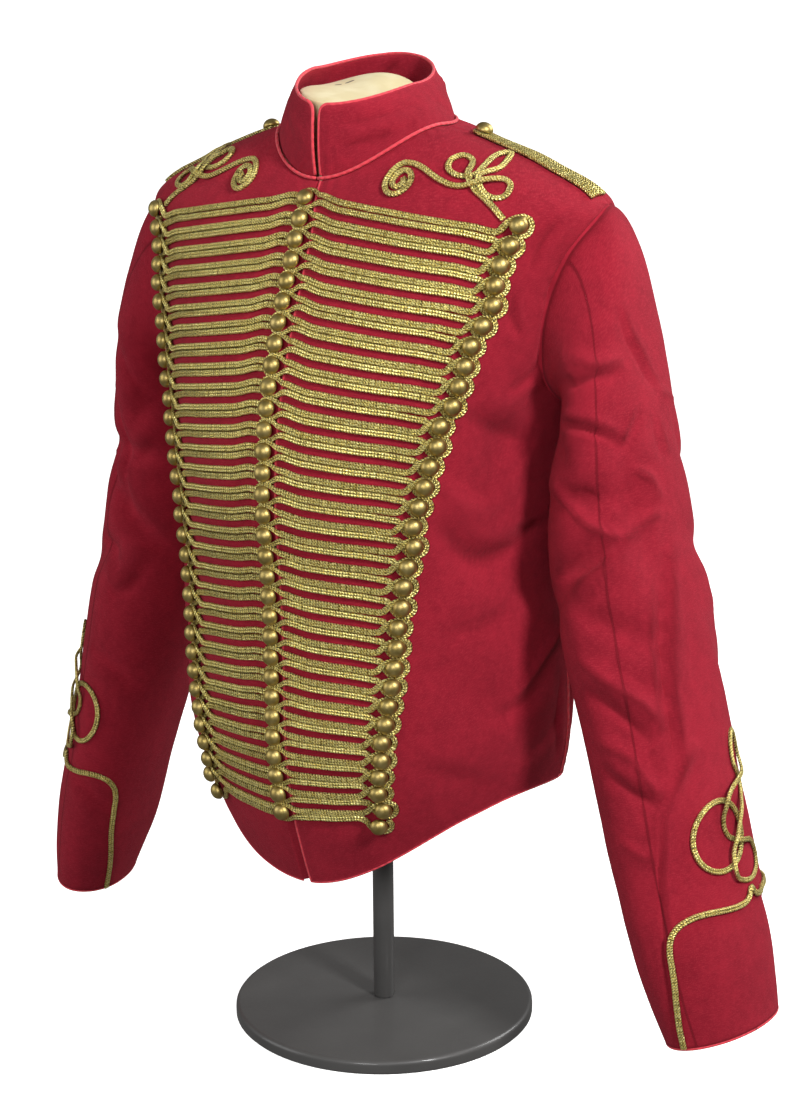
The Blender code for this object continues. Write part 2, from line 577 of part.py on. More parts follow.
def comb(name, side):
    """One front's frogging: cells of a grid, filled at the bars and down the outer strip."""
    columns, rows = len(BAR_SHARES), len(BAR_EDGES)
    vertices = []
    for lift in (BAR_LIFT, BAR_LIFT + BAR_THICK):
        vertices += [bar_point(place, share, lift) for place in BAR_EDGES for share in BAR_SHARES]
    filled = [
        (r, c) for r in range(rows - 1) for c in range(columns - 1) if r % 2 == 0 or c == columns - 2
    ]
    top = rows * columns
    faces = []
    for r, c in filled:
        a, b = r * columns + c, (r + 1) * columns + c
        faces.append((a, a + 1, b + 1, b))
        faces.append((top + b, top + b + 1, top + a + 1, top + a))
        sides = {
            (r - 1, c): (a, a + 1), (r + 1, c): (b + 1, b), (r, c - 1): (b, a), (r, c + 1): (a + 1, b + 1),
        }
        for neighbour, (start, end) in sides.items():
            if neighbour not in filled:
                faces.append((end, start, top + start, top + end))
    solid(name, GOLD_CORD, vertices, faces, side, smooth=False)


comb("frogging_left", 1)
comb("frogging_right", -1)


# --- buttons: columns of domes, each joined to the next by the tape through their shanks ----------------
def dome_column(name, spots, side=1):
    """Domes at (point, outward direction) places down a line, joined between their facing flats."""
    points = np.array([point for point, _ in spots])
    down = np.gradient(points, axis=0) if len(points) > 1 else np.array(((0.0, -1.0, 0.0),))
    ring = len(DOME_RINGS) * DOME_SIDES
    vertices, faces = [], []
    for i, (point, normal) in enumerate(spots):
        run = down[i] - normal * (down[i] @ normal)
        run /= np.linalg.norm(run)
        aside = np.cross(run, normal)
        base = len(vertices)
        for reach, lift in DOME_RINGS:
            for k in range(DOME_SIDES):
                angle = 2 * pi * (k - 0.5) / DOME_SIDES
                flat = run * cos(angle) + aside * sin(angle)
                vertices.append(point + flat * BUTTON_R * reach + normal * BUTTON_TALL * lift)
        vertices.append(point + normal * BUTTON_TALL)
        joined = [k for k, there in ((0, i < len(spots) - 1), (DOME_SIDES // 2, i > 0)) if there]
        for r in range(len(DOME_RINGS) - 1):
            for k in range(DOME_SIDES):
                if r == 0 and k in joined:
                    continue
                m = (k + 1) % DOME_SIDES
                a, b = base + r * DOME_SIDES, base + (r + 1) * DOME_SIDES
                faces.append((a + k, a + m, b + m, b + k))
        last = base + (len(DOME_RINGS) - 1) * DOME_SIDES
        faces += [(last + k, last + (k + 1) % DOME_SIDES, base + ring) for k in range(DOME_SIDES)]
        faces.append(tuple(base + k for k in reversed(range(DOME_SIDES))))
        if i < len(spots) - 1:
            facing = base + ring + 1 + DOME_SIDES // 2
            low = (base, base + 1, facing, facing + 1)
            high = tuple(v + DOME_SIDES for v in low)
            faces += [low, high, (low[1], low[2], high[2], high[1]), (low[3], low[0], high[0], high[3])]
    solid(name, BRASS, vertices, faces, side)


outer_spots = [
    front_lifted(*outer_spot(button), BAR_LIFT + BAR_THICK + 3 * SEAM) for button in range(1, BARS + 2)
]
dome_column("buttons_left", outer_spots)
dome_column("buttons_right", outer_spots, side=-1)
centre_spots = [front_lifted(0.0, height, 2 * SEAM) for height in CENTRE_HEIGHTS[:BARS]]
dome_column("buttons_centre", centre_spots)


# --- breast knots -----------------------------------------------------------------------------------
def smooth_route(points, per_span, closed=False):
    """Places along a smooth curve through a short list of them."""
    points = list(points)
    if closed:
        points = points[-1:] + points + points[:2]
        return [row_at(points, i + k / per_span) for i in range(1, len(points) - 2) for k in range(per_span)]
    return [row_at(points, i / per_span) for i in range((len(points) - 1) * per_span + 1)]


knot_route = [
    front_lifted(across / 1000, height / 1000, TRIM_LIFT + over * CROSSING)
    for across, height, over in smooth_route(BREAST_KNOT, 2)
]
for k in range(1, SPIRAL_STEPS + 1):
    angle = SPIRAL_START + 2 * pi * SPIRAL_TURNS * k / SPIRAL_STEPS
    radius = SPIRAL_R * (1 - (1 - SPIRAL_EYE) * k / SPIRAL_STEPS)
    across, height = SPIRAL_MID[0] + radius * cos(angle), SPIRAL_MID[1] + radius * sin(angle)
    knot_route.append(front_lifted(across, height, TRIM_LIFT))
for side, word in ((1, "left"), (-1, "right")):
    cord(f"breast_knot_{word}", GOLD_CORD, knot_route, flat_cord(CORD_WIDE * KNOT_WIDE, CORD_TALL), side)


# --- shoulder cords: a flat plait along the shoulder, with a button at its collar end -------------------
def shoulder_level(across, turn):
    """The level on the shoulder at this distance across and this turn."""
    def outside(level):
        return row_at(BODY_ROWS, level)[SIDE_X] * sin(turn) > across

    return halfway(outside, SHOULDER_LEVEL, NECK)


def shoulder_spot(across, deep):
    """Turn and level on the shoulder at this distance across and this y."""
    level = shoulder_level(across, pi / 2)
    for _ in range(8):
        _, front_y, _, _, side_y, _, back_y, _ = row_at(BODY_ROWS, level)
        share = (deep - side_y) / ((front_y if deep < side_y else back_y) - side_y)
        turn = pi / 2 + asin(share) * (1 if deep > side_y else -1)
        level = shoulder_level(across, turn)
    return turn, level


shoulder_places = []
for k in range(SHOULDER_CORD_STEPS + 1):
    across = SHOULDER_CORD[0] + (SHOULDER_CORD[1] - SHOULDER_CORD[0]) * k / SHOULDER_CORD_STEPS
    middle_y = np.interp(across, SHOULDER_CORD, SHOULDER_CORD_Y)
    half = np.interp(across, SHOULDER_CORD, SHOULDER_CORD_HALF)
    row = [shoulder_spot(across, middle_y + half * c) for c in (-1, 0, 1)]
    shoulder_places.append(row)
button_spot = shoulder_spot(SHOULDER_CORD[0] + BUTTON_R, SHOULDER_CORD_Y[0])
button_place = lifted(body_point, *button_spot, TRIM_LIFT + CORD_TALL + 2 * SEAM)
for side, word in ((1, "left"), (-1, "right")):
    heights = (TRIM_LIFT, TRIM_LIFT + CORD_TALL)
    slab(f"shoulder_cord_{word}", GOLD_CORD, body_point, shoulder_places, *heights, side)
    dome_column(f"shoulder_button_{word}", [button_place], side)


# --- cuff cords: a pointed braid, and above it a ring with a chain of two strands through it -------------
def sleeve_along(height):
    """The place along the sleeve at this height above the cuff's end, in metres."""
    mids = [np.array(((r[0] + r[2]) / 2, r[4], (r[1] + r[3]) / 2)) for r in SLEEVE_ROWS]
    reached, place = 0.0, CUFF
    for k in range(len(mids) - 1, 0, -1):
        length = np.linalg.norm(mids[k] - mids[k - 1])
        if reached + length > height:
            return place - (height - reached) / length
        reached, place = reached + length, place - 1
    return place


def sleeve_route(places, turned, raised):
    """A route on the sleeve from places in degrees, mm and cords crossed over."""
    route = []
    for around, height, over in places:
        along = sleeve_along((height + raised * min(height / RAISED_FROM, 1.0)) / 1000)
        route.append(lifted(sleeve_point, radians(around + turned), along, TRIM_LIFT + over * CROSSING))
    return route


braid = list(CUFF_BRAID) + [(-around, height, over) for around, height, over in CUFF_BRAID[-2::-1]]

ring = []
for k in range(CUFF_RING_STEPS):
    angle = 2 * pi * k / CUFF_RING_STEPS
    around = CUFF_RING[0] + degrees(CUFF_RING_R / SLEEVE_ROUND * cos(angle))
    ring.append((around, CUFF_RING[1] + CUFF_RING_R * sin(angle), 0))
thin, full = flat_cord(CORD_WIDE * CHAIN_WIDE, CORD_TALL), flat_cord(CORD_WIDE, CORD_TALL)
for word, side, *moved in CUFF_TURNED:
    cord(f"cuff_braid_{word}", GOLD_CORD, sleeve_route(braid, *moved), full, side)
    cord(f"cuff_chain_{word}", GOLD_CORD, sleeve_route(CUFF_CHAIN, *moved), thin, side, closed=True)
    cord(f"cuff_ring_{word}", GOLD_CORD, sleeve_route(ring, *moved), full, side, closed=True)


# --- dress form and stand --------------------------------------------------------------------------
def lathe(name, finish, rings, smooth=True):
    """A closed solid from rings of equally many points, capped at both ends."""
    count = len(rings[0])
    faces = [tuple(range(count)), tuple(range((len(rings) - 1) * count, len(rings) * count))]
    for r in range(len(rings) - 1):
        for k in range(count):
            a, b = r * count + k, r * count + (k + 1) % count
            faces.append((a, b, b + count, a + count))
    solid(name, finish, [point for ring in rings for point in ring], faces, smooth=smooth)


def circle(radius, height, sides):
    """A level ring round the stand's axis."""
    turns = [2 * pi * k / sides for k in range(sides)]
    return [np.array((radius * cos(t), radius * sin(t), height)) for t in turns]


form_turns = [2 * pi * (k + 0.5) / FORM_STEPS for k in range(FORM_STEPS)]


def form_point(turn, level, ease):
    """The form inside the cloth, on either side of the body."""
    near = min(turn, 2 * pi - turn)
    room = FORM_FRONT_ROOM * max(cos(near), 0.0) ** 6
    point = lifted(body_point, near, level, -CLOTH - ease - room)[0]
    return point * np.array((1.0 if turn < pi else -1.0, 1.0, 1.0))


rings = []
foot = [form_point(t, level_at(min(t, 2 * pi - t), FORM_FOOT_Z), FORM_FOOT_EASE) for t in form_turns]
rings.append([np.array((x, y, FORM_FOOT_Z)) for x, y, _ in foot])
rings += [[form_point(turn, level, ease) for turn in form_turns] for level, ease in FORM_ROWS]
for section, tilt in zip(NECK_SECTIONS, (0, TOP_TILT, TOP_TILT)):
    ring = [section_point(section, turn) for turn in form_turns]
    rings.append([point + np.array((0.0, 0.0, tilt * point[0])) for point in ring])
lathe("dress_form", LINEN, rings)
lathe("stand_pole", STEEL, [circle(POLE_R, z, POLE_SIDES) for z in (BASE_TALL + SEAM, FORM_FOOT_Z - SEAM)])
base_rings = ((BASE_R, 0.0), (BASE_R, BASE_TALL - BASE_EDGE), (BASE_R - BASE_EDGE, BASE_TALL))
lathe("stand_base", STEEL, [circle(radius, z, BASE_SIDES) for radius, z in base_rings])
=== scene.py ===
"""Hussar dress tunic on a limbless dress form: the finish of every piece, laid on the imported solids' shapes.
Metres, +Z up, the wearer faces -Y and the wearer's left is +X."""
from math import cos, degrees, pi, radians, sin

import bpy
import numpy as np
from mathutils import Matrix, Vector, noise


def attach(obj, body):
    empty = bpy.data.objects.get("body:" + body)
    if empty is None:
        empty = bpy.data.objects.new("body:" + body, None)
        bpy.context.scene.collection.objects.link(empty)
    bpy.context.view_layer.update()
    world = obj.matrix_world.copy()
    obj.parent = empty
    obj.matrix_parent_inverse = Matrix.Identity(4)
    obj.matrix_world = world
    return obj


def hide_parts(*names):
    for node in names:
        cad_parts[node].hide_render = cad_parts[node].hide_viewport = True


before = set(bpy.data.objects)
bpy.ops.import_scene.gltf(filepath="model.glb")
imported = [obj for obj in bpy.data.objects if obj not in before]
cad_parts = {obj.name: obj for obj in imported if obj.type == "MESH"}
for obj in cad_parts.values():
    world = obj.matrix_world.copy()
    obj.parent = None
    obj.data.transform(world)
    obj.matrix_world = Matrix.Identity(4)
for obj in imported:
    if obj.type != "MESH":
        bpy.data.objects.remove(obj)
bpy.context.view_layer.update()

# --- The room: a pale floor that runs up into a pale wall, soft light from large panels, and a camera that
# stands in front of the wearer's left shoulder and looks a little down.
CAMERA_AT = Vector((0.9713, -1.4694, 0.8271))
AZIMUTH, DOWN, ROLL = radians(33.0), radians(13.36), radians(-0.49)
FOCAL, FRAME_TALL, SENSOR_MM = 2196, 1097, 36.0  # pixels, pixels, millimetres
ahead = Vector((-sin(AZIMUTH) * cos(DOWN), cos(AZIMUTH) * cos(DOWN), -sin(DOWN)))
level_right = ahead.cross(Vector((0, 0, 1))).normalized()
level_up = level_right.cross(ahead)
right = level_right * cos(ROLL) + level_up * sin(ROLL)
up = right.cross(ahead)
camera_data = bpy.data.cameras.new("camera")
camera_data.sensor_fit, camera_data.sensor_height = "VERTICAL", SENSOR_MM
camera_data.lens = SENSOR_MM * FOCAL / FRAME_TALL
camera = bpy.data.objects.new("camera", camera_data)
camera.matrix_world = Matrix.Translation(CAMERA_AT) @ Matrix((right, up, -ahead)).transposed().to_4x4()
bpy.context.scene.collection.objects.link(camera)
bpy.context.scene.camera = camera

CHEST = Vector((0.0, 0.0, 0.50))
# Square soft boxes aimed at the chest: place, metres across, watts
SOFT_BOXES = {
    "key": ((1.76, -0.66, 1.60), 0.35, 39),
    "front": ((0.75, -2.20, 1.20), 0.7, 20),
    "fill": ((-1.9, -1.6, 1.0), 1.6, 19),
    "back": ((1.2, 1.7, 1.7), 1.2, 40),
}
for name, (spot, across, power) in SOFT_BOXES.items():
    box = bpy.data.lights.new(name, "AREA")
    box.size, box.energy = across, power
    lamp = bpy.data.objects.new(name, box)
    lamp.location = spot
    lamp.rotation_euler = (CHEST - Vector(spot)).to_track_quat("-Z", "Y").to_euler()
    bpy.context.scene.collection.objects.link(lamp)
WORLD_COLOUR, WORLD_STRENGTH = (1.0, 0.985, 0.97, 1.0), 0.17
world = bpy.data.worlds.new("world")
world.use_nodes = True
sky = world.node_tree.nodes["Background"].inputs
sky["Color"].default_value, sky["Strength"].default_value = WORLD_COLOUR, WORLD_STRENGTH
bpy.context.scene.world = world
bpy.context.scene.view_settings.view_transform = "Standard"

FLOOR_HALF, WALL_FROM, WALL_ROUND, WALL_TALL, WALL_STEPS = 5.0, 2.4, 1.2, 4.0, 12
profile = [(-FLOOR_HALF, 0.0), (WALL_FROM, 0.0)]
for k in range(1, WALL_STEPS + 1):
    turn = pi / 2 * k / WALL_STEPS
    profile.append((WALL_FROM + WALL_ROUND * sin(turn), WALL_ROUND * (1 - cos(turn))))
profile.append((WALL_FROM + WALL_ROUND, WALL_TALL))
backdrop_mesh = bpy.data.meshes.new("backdrop")
backdrop_mesh.from_pydata(
    [(x, y, z) for y, z in profile for x in (-FLOOR_HALF, FLOOR_HALF)],
    [],
    [(2 * k, 2 * k + 1, 2 * k + 3, 2 * k + 2) for k in range(len(profile) - 1)],
)
backdrop_mesh.shade_smooth()
backdrop = bpy.data.objects.new("backdrop", backdrop_mesh)
backdrop.rotation_euler = (0, 0, AZIMUTH)
bpy.context.scene.collection.objects.link(backdrop)
backdrop.visible_diffuse = backdrop.visible_glossy = False


class Wire:
    """A value that a material works out: arithmetic on it adds Math nodes to the material being made."""

    tree = None

    def __init__(self, socket):
        self.socket = socket

    @classmethod
    def node(cls, kind, settings=None, sockets=None, out=0):
        """Any other node, with its settings made before its sockets are filled."""
        made = cls.tree.nodes.new("ShaderNode" + kind)
        for name, value in (settings or {}).items():
            setattr(made, name, value)
        for name, value in (sockets or {}).items():
            if isinstance(value, Wire):
                cls.tree.links.new(value.socket, made.inputs[name])
            else:
                made.inputs[name].default_value = value
        return cls(made.outputs[out])

    def parts(self):
        """The three numbers of a vector."""
        return [Wire(part) for part in Wire.node("SeparateXYZ", None, {0: self}).socket.node.outputs]

    def maths(self, operation, other=0.0, clamp=False):
        return Wire.node("Math", {"operation": operation, "use_clamp": clamp}, {0: self, 1: other})

    def past(self, start, gain):
        """0 up to a start, then rising by this gain, to 1 at most."""
        return (self - start).maths("MULTIPLY", gain, clamp=True)

    def __add__(self, other):
        return self.maths("ADD", other)

    def __mul__(self, other):
        return self.maths("MULTIPLY", other)

    def __sub__(self, other):
        return self.maths("SUBTRACT", other)

    def __rsub__(self, other):
        return Wire.node("Math", {"operation": "SUBTRACT"}, {0: other, 1: self})

    __radd__, __rmul__ = __add__, __mul__


def mixed(mask, first, second):
    """One colour where the mask is 0 and another where it is 1, on the node's numbered sockets for colours."""
    return Wire.node("Mix", {"data_type": "RGBA"}, {0: mask, 6: first, 7: second}, out=2)


def grain(place, size, detail=2.0, rough=0.5):
    """Noise from 0 to 1, with patches of about this size in the units of the place."""
    return Wire.node("TexNoise", None, {"Vector": place, "Scale": 1.0 / size, "Detail": detail, "Roughness": rough})


def raised(height, depth, under=None):
    """A bump of this depth in metres, over another bump where one is given."""
    sockets = {"Height": height, "Distance": depth, "Strength": 1.0}
    if under:
        sockets["Normal"] = under
    return Wire.node("Bump", None, sockets)


def material(name, constants, paint):
    """A material whose shader has constants on its own sockets, and what paint() returns linked to the rest."""
    made = bpy.data.materials.new(name)
    made.use_nodes = True
    Wire.tree = made.node_tree
    shader = Wire.tree.nodes["Principled BSDF"]
    for socket, value in constants.items():
        shader.inputs[socket].default_value = value
    for socket, wire in paint().items():
        Wire.tree.links.new(wire.socket, shader.inputs[socket])
    return made


def object_place():
    return Wire.node("TexCoord", out="Object")


def cut_place():
    """Metres along and across the cut of a cloth, or along a cord and a share of the way round it."""
    return Wire.node("UVMap", {"uv_map": "cut"})


def stretched(place, scale):
    return Wire.node("Mapping", None, {"Vector": place, "Scale": scale})


PAPER, PAPER_LIT = ((0.86, 0.85, 0.84, 1), (0.90, 0.89, 0.88, 1)), ((0.96, 0.96, 0.955, 1), (1.0, 1.0, 0.995, 1))
PAPER_CLOUD = 0.6


def backdrop_paint():
    soft = grain(object_place(), PAPER_CLOUD)
    return {"Base Color": mixed(soft, *PAPER), "Emission Color": mixed(soft, *PAPER_LIT)}


pale_paper = material("pale_paper", {"Roughness": 0.9, "Emission Strength": 0.95}, backdrop_paint)
backdrop_mesh.materials.append(pale_paper)

# --- The body's cloth: two fronts and two backs of crimson cotton twill on canvas, cut to meet at the side
# and shoulder seams, with the left front lapping over the right, and worn creases where the arms pull.
CLOTH = 0.0022  # its thickness with the canvas
SEAM = 0.0003  # gap between neighbours
# Sections from hem to neck: height and y of the front, height, x and y of the side, height and y of the back,
# and how sharply the section dips
BODY_ROWS = (
    (0.159, -0.1180, 0.237, 0.162, 0.012, 0.222, 0.092, 3.4),
    (0.215, -0.1390, 0.264, 0.167, 0.012, 0.256, 0.095, 3.2),
    (0.275, -0.1495, 0.303, 0.170, 0.009, 0.303, 0.097, 3.0),
    (0.345, -0.1510, 0.360, 0.1695, 0.006, 0.362, 0.101, 2.8),
    (0.415, -0.1525, 0.420, 0.167, 0.005, 0.424, 0.107, 2.6),
    (0.480, -0.1570, 0.480, 0.168, 0.004, 0.486, 0.115, 2.4),
    (0.545, -0.1500, 0.545, 0.176, 0.002, 0.552, 0.121, 2.2),
    (0.605, -0.1335, 0.605, 0.192, 0.000, 0.615, 0.120, 2.2),
    (0.655, -0.1145, 0.662, 0.202, 0.000, 0.668, 0.110, 2.2),
    (0.682, -0.1040, 0.698, 0.205, 0.000, 0.708, 0.092, 2.2),
    (0.697, -0.0970, 0.723, 0.160, -0.001, 0.735, 0.074, 2.2),
    (0.7065, -0.0885, 0.742, 0.110, -0.006, 0.752, 0.063, 2.2),
    (0.7150, -0.0800, 0.754, 0.070, -0.012, 0.762, 0.056, 2.2),
)
HEM, NECK = 0.0, len(BODY_ROWS) - 1.0
SIDE_X, WAIST, CHEST_ROW = 3, 2, 5  # the column of the side's x, and the rows of the waist and the chest
# Large soft troughs on each half: turn in degrees and height of the middle, lean, length, width, depth
BODY_FOLDS = (
    (66, 0.520, 62, 0.050, 0.018, 0.0050),
    (60, 0.440, -30, 0.050, 0.019, 0.0055),
    (58, 0.320, -35, 0.055, 0.020, 0.0050),
    (84, 0.400, -15, 0.050, 0.018, 0.0040),
    (118, 0.380, 12, 0.060, 0.019, 0.0045),
    (150, 0.340, -8, 0.055, 0.020, 0.0040),
    (140, 0.560, -60, 0.050, 0.019, 0.0045),
)
ARMHOLE_TURN, ARMHOLE_TURN_HALF = radians(94), radians(26)
ARMHOLE_Z, ARMHOLE_Z_HALF = 0.6205, 0.0765
ARM_STEPS, SIDE_STEPS, SHOULDER_STEPS = 18, 6, 4  # the solids' rows on each stretch of a panel's outer edge
ARM_FINE, SIDE_FINE, SHOULDER_FINE = 8, 12, 9  # and how many rows of the cloth lie in each of them
PANEL_COLUMNS = 84
FRONT_EDGE = radians(3.4)
UNDERLAP, UNDERLAP_START, UNDERLAP_FULL = radians(8), radians(0.3), radians(2.0)
BACK_SEAM = pi - SEAM / 2 / BODY_ROWS[CHEST_ROW][SIDE_X]
# Finer creases: places (turn in degrees, height) that one runs through, its half width and its depth
CREASES = {
    "front_left": (
        (((66, 0.690), (62, 0.672), (60, 0.650)), 0.0050, 0.0022),
        (((77, 0.666), (72, 0.648), (66, 0.630)), 0.0060, 0.0026),
        (((57, 0.636), (58, 0.620), (62, 0.604)), 0.0032, 0.0022),
        (((72, 0.604), (70, 0.575), (60, 0.560)), 0.0045, 0.0020),
        (((52, 0.548), (62, 0.532), (76, 0.520)), 0.0120, 0.0046),
        (((45, 0.502), (55, 0.480), (65, 0.466)), 0.0080, -0.0026),
        (((46, 0.468), (56, 0.438), (68, 0.436), (80, 0.456)), 0.0095, 0.0042),
        (((70, 0.456), (76, 0.453), (84, 0.454)), 0.0032, 0.0022),
        (((46, 0.376), (58, 0.380), (70, 0.394)), 0.0110, 0.0024),
        (((91, 0.366), (81, 0.351), (68, 0.316)), 0.0055, -0.0028),
        (((84, 0.336), (76, 0.318), (62, 0.305)), 0.0080, 0.0020),
        (((36, 0.272), (48, 0.262), (60, 0.245)), 0.0080, 0.0014),
        (((90, 0.300), (80, 0.276), (70, 0.268)), 0.0060, 0.0014),
        (((30, 0.722), (42, 0.712), (58, 0.700)), 0.0070, 0.0008),
        (((88, 0.330), (86, 0.290), (87, 0.252)), 0.0040, 0.0014),
    ),
    "front_right": (
        (((60, 0.636), (67, 0.590), (78, 0.548)), 0.0060, 0.0020),
        (((74, 0.584), (82, 0.560), (88, 0.545)), 0.0040, 0.0024),
        (((84, 0.532), (70, 0.520), (58, 0.496)), 0.0080, 0.0020),
        (((90, 0.470), (76, 0.440), (60, 0.436)), 0.0075, 0.0020),
        (((91, 0.386), (80, 0.360), (64, 0.352)), 0.0085, 0.0022),
        (((88, 0.322), (76, 0.300), (60, 0.292)), 0.0075, 0.0016),
        (((85, 0.345), (84, 0.300), (86, 0.262)), 0.0050, 0.0016),
        (((40, 0.246), (52, 0.238), (64, 0.242)), 0.0070, 0.0012),
        (((34, 0.716), (46, 0.706), (60, 0.690)), 0.0070, 0.0008),
    ),
    "back_left": (
        (((100, 0.345), (103, 0.305), (104, 0.268)), 0.0045, 0.0028),
        (((98, 0.520), (112, 0.492), (128, 0.486)), 0.0080, 0.0022),
        (((99, 0.440), (116, 0.424), (132, 0.432)), 0.0075, 0.0016),
        (((104, 0.372), (122, 0.356), (140, 0.362)), 0.0080, 0.0020),
        (((132, 0.330), (146, 0.318), (160, 0.322)), 0.0070, 0.0013),
        (((108, 0.566), (114, 0.600), (116, 0.640)), 0.0060, 0.0018),
        (((124, 0.545), (136, 0.590), (144, 0.640)), 0.0100, 0.0018),
        (((150, 0.690), (160, 0.700), (172, 0.702)), 0.0070, 0.0008),
        (((112, 0.262), (124, 0.286), (130, 0.312)), 0.0060, 0.0014),
    ),
    "back_right": (
        (((98, 0.350), (101, 0.312), (105, 0.276)), 0.0050, 0.0024),
        (((99, 0.534), (114, 0.508), (130, 0.510)), 0.0085, 0.0024),
        (((100, 0.462), (118, 0.438), (138, 0.440)), 0.0070, 0.0015),
        (((102, 0.396), (120, 0.372), (136, 0.366)), 0.0085, 0.0020),
        (((138, 0.352), (150, 0.338), (166, 0.346)), 0.0070, 0.0014),
        (((106, 0.560), (113, 0.590), (114, 0.632)), 0.0060, 0.0018),
        (((122, 0.560), (132, 0.606), (138, 0.652)), 0.0100, 0.0016),
        (((146, 0.300), (156, 0.286), (168, 0.280)), 0.0065, 0.0012),
    ),
}
CREASE_POINTS, CREASE_GAIN = 13, 1.45
CREASE_SHARP, CREASE_ROUND = 1.3, 0.2  # how fast a crease's sides rise, and how round its bottom is
CREASE_STEEPER = 0.25  # how much steeper its raised side is
CREASE_TAPER = 0.8  # how fast it fades at its ends
LIP, LIP_AT = 0.40, 1.8  # its raised side: height as a share of its depth, and place in half widths
LIP_REACH, CREASE_REACH = 4, 5  # half widths beyond which that side fades out, and the whole crease is left out
FADED = 9.0
WOBBLES = ((0.062, 0.0011), (0.026, 0.00035))  # size and height of the cloth's small unevenness
HALVINGS, NORMAL_STEP = 22, 0.004


def row_at(rows, level):
    """Sections between the rows of a table, along a smooth curve through them."""
    table = np.array(rows, dtype=float)
    last = len(rows) - 1
    level = np.clip(np.asarray(level, dtype=float), 0.0, last)
    first = np.minimum(level.astype(int), last - 1)
    t = (level - first)[..., None]
    before, start, end, after = (table[np.clip(first + k, 0, last)] for k in (-1, 0, 1, 2))
    bend = 2 * before - 5 * start + 4 * end - after
    swing = 3 * start - before - 3 * end + after
    return start + 0.5 * t * (end - before + t * (bend + t * swing))


def halfway(test, low, high, like):
    """The places between two others where a test stops being true."""
    low, high = np.full(np.shape(like), low), np.full(np.shape(like), high)
    for _ in range(HALVINGS):
        middle = (low + high) / 2
        passed = test(middle)
        low, high = np.where(passed, middle, low), np.where(passed, high, middle)
    return (low + high) / 2


def trough(across, along, lean, long, wide, depth):
    """Depth of one large trough at places given from its middle."""
    c, s = cos(radians(lean)), sin(radians(lean))
    return depth * np.exp(-(((across * c + along * s) / long) ** 2) - ((along * c - across * s) / wide) ** 2)


def outward(turn):
    return np.stack((np.sin(turn), -np.cos(turn), np.zeros_like(turn)), -1)


def section_point(section, turn):
    """Points of sections: turn is 0 at the centre front, pi/2 at the wearer's left side."""
    front_z, front_y, side_z, side_x, side_y, back_z, back_y, dip = np.moveaxis(np.asarray(section), -1, 0)
    share = np.abs(np.cos(turn))
    end_y, end_z = (np.where(np.cos(turn) > 0, a, b) for a, b in ((front_y, back_y), (front_z, back_z)))
    x, y, z = side_x * np.sin(turn), side_y + (end_y - side_y) * share, side_z + (end_z - side_z) * share**dip
    return np.stack(np.broadcast_arrays(x, y, z), -1)


def body_point(turn, level):
    """The body's cloth, outer face."""
    turn, level = np.broadcast_arrays(np.asarray(turn, dtype=float), np.asarray(level, dtype=float))
    section = row_at(BODY_ROWS, level)
    point = section_point(section, turn)
    sunk = 0.0
    for at, height, *shape in BODY_FOLDS:
        sunk = sunk + trough((turn - radians(at)) * section[..., SIDE_X], point[..., 2] - height, *shape)
    return point - outward(turn) * sunk[..., None]


def level_at(turn, height):
    """The levels at which the body has these heights at these turns."""
    return halfway(lambda level: body_point(turn, level)[..., 2] < height, HEM, NECK, turn + height)


def unit(vectors):
    return vectors / np.linalg.norm(vectors, axis=-1, keepdims=True)


def normal_of(surface, first, second):
    """Outward directions of a surface, from places a step away each way."""
    along_first = surface(first + NORMAL_STEP, second) - surface(first - NORMAL_STEP, second)
    along_second = surface(first, second + NORMAL_STEP) - surface(first, second - NORMAL_STEP)
    return unit(np.cross(along_first, along_second))


def right_front_point(turn, level):
    """The right front, mirrored: past the centre it sinks under the left one."""
    turn, level = np.broadcast_arrays(np.asarray(turn, dtype=float), np.asarray(level, dtype=float))
    sunk = np.clip((-turn - UNDERLAP_START) / (UNDERLAP_FULL - UNDERLAP_START), 0.0, 1.0)
    level = np.clip(level, HEM, NECK)
    return body_point(turn, level) - normal_of(body_point, turn, level) * (sunk * (CLOTH + 3 * SEAM))[..., None]


def wobble(point):
    """The cloth's small unevenness at points in space."""
    flat = point.reshape(-1, 3)
    high = np.zeros(len(flat))
    for size, height in WOBBLES:
        high += [height * noise.noise(place) for place in flat / size]
    return high.reshape(point.shape[:-1])


def crease_depth(point, normal, line, wide, depth):
    """How far a crease along a line sinks the cloth: a sharp valley with a low ridge on its steeper side."""
    near = np.linalg.norm(point - line.mean(axis=0), axis=-1) < np.ptp(line, axis=0).max() + CREASE_REACH * wide
    place, up_there = point[near], normal[near]
    best = np.full(len(place), np.inf)
    side, along = np.zeros_like(best), np.zeros_like(best)
    for k in range(len(line) - 1):
        run = line[k + 1] - line[k]
        share = np.clip((place - line[k]) @ run / (run @ run), 0.0, 1.0)
        off = place - line[k] - share[:, None] * run
        gap = np.linalg.norm(off, axis=-1)
        closer = gap < best
        best = np.where(closer, gap, best)
        to_side = np.sum(np.cross(up_there, run) * off, axis=-1) / np.linalg.norm(run)
        side = np.where(closer, to_side, side)
        along = np.where(closer, (k + share) / (len(line) - 1), along)
    fade = np.sin(pi * along) ** CREASE_TAPER
    reach = best / wide / (1.0 - CREASE_STEEPER * np.tanh(side / (0.5 * wide)))
    valley = np.exp(-CREASE_SHARP * (np.sqrt(reach**2 + CREASE_ROUND**2) - CREASE_ROUND))
    ridge = np.exp(-(((side / wide) - LIP_AT) ** 2) - np.where(best > LIP_REACH * wide, FADED, 0.0))
    sunk = np.zeros(point.shape[:-1])
    sunk[near] = CREASE_GAIN * depth * fade * (valley - LIP * ridge)
    return sunk


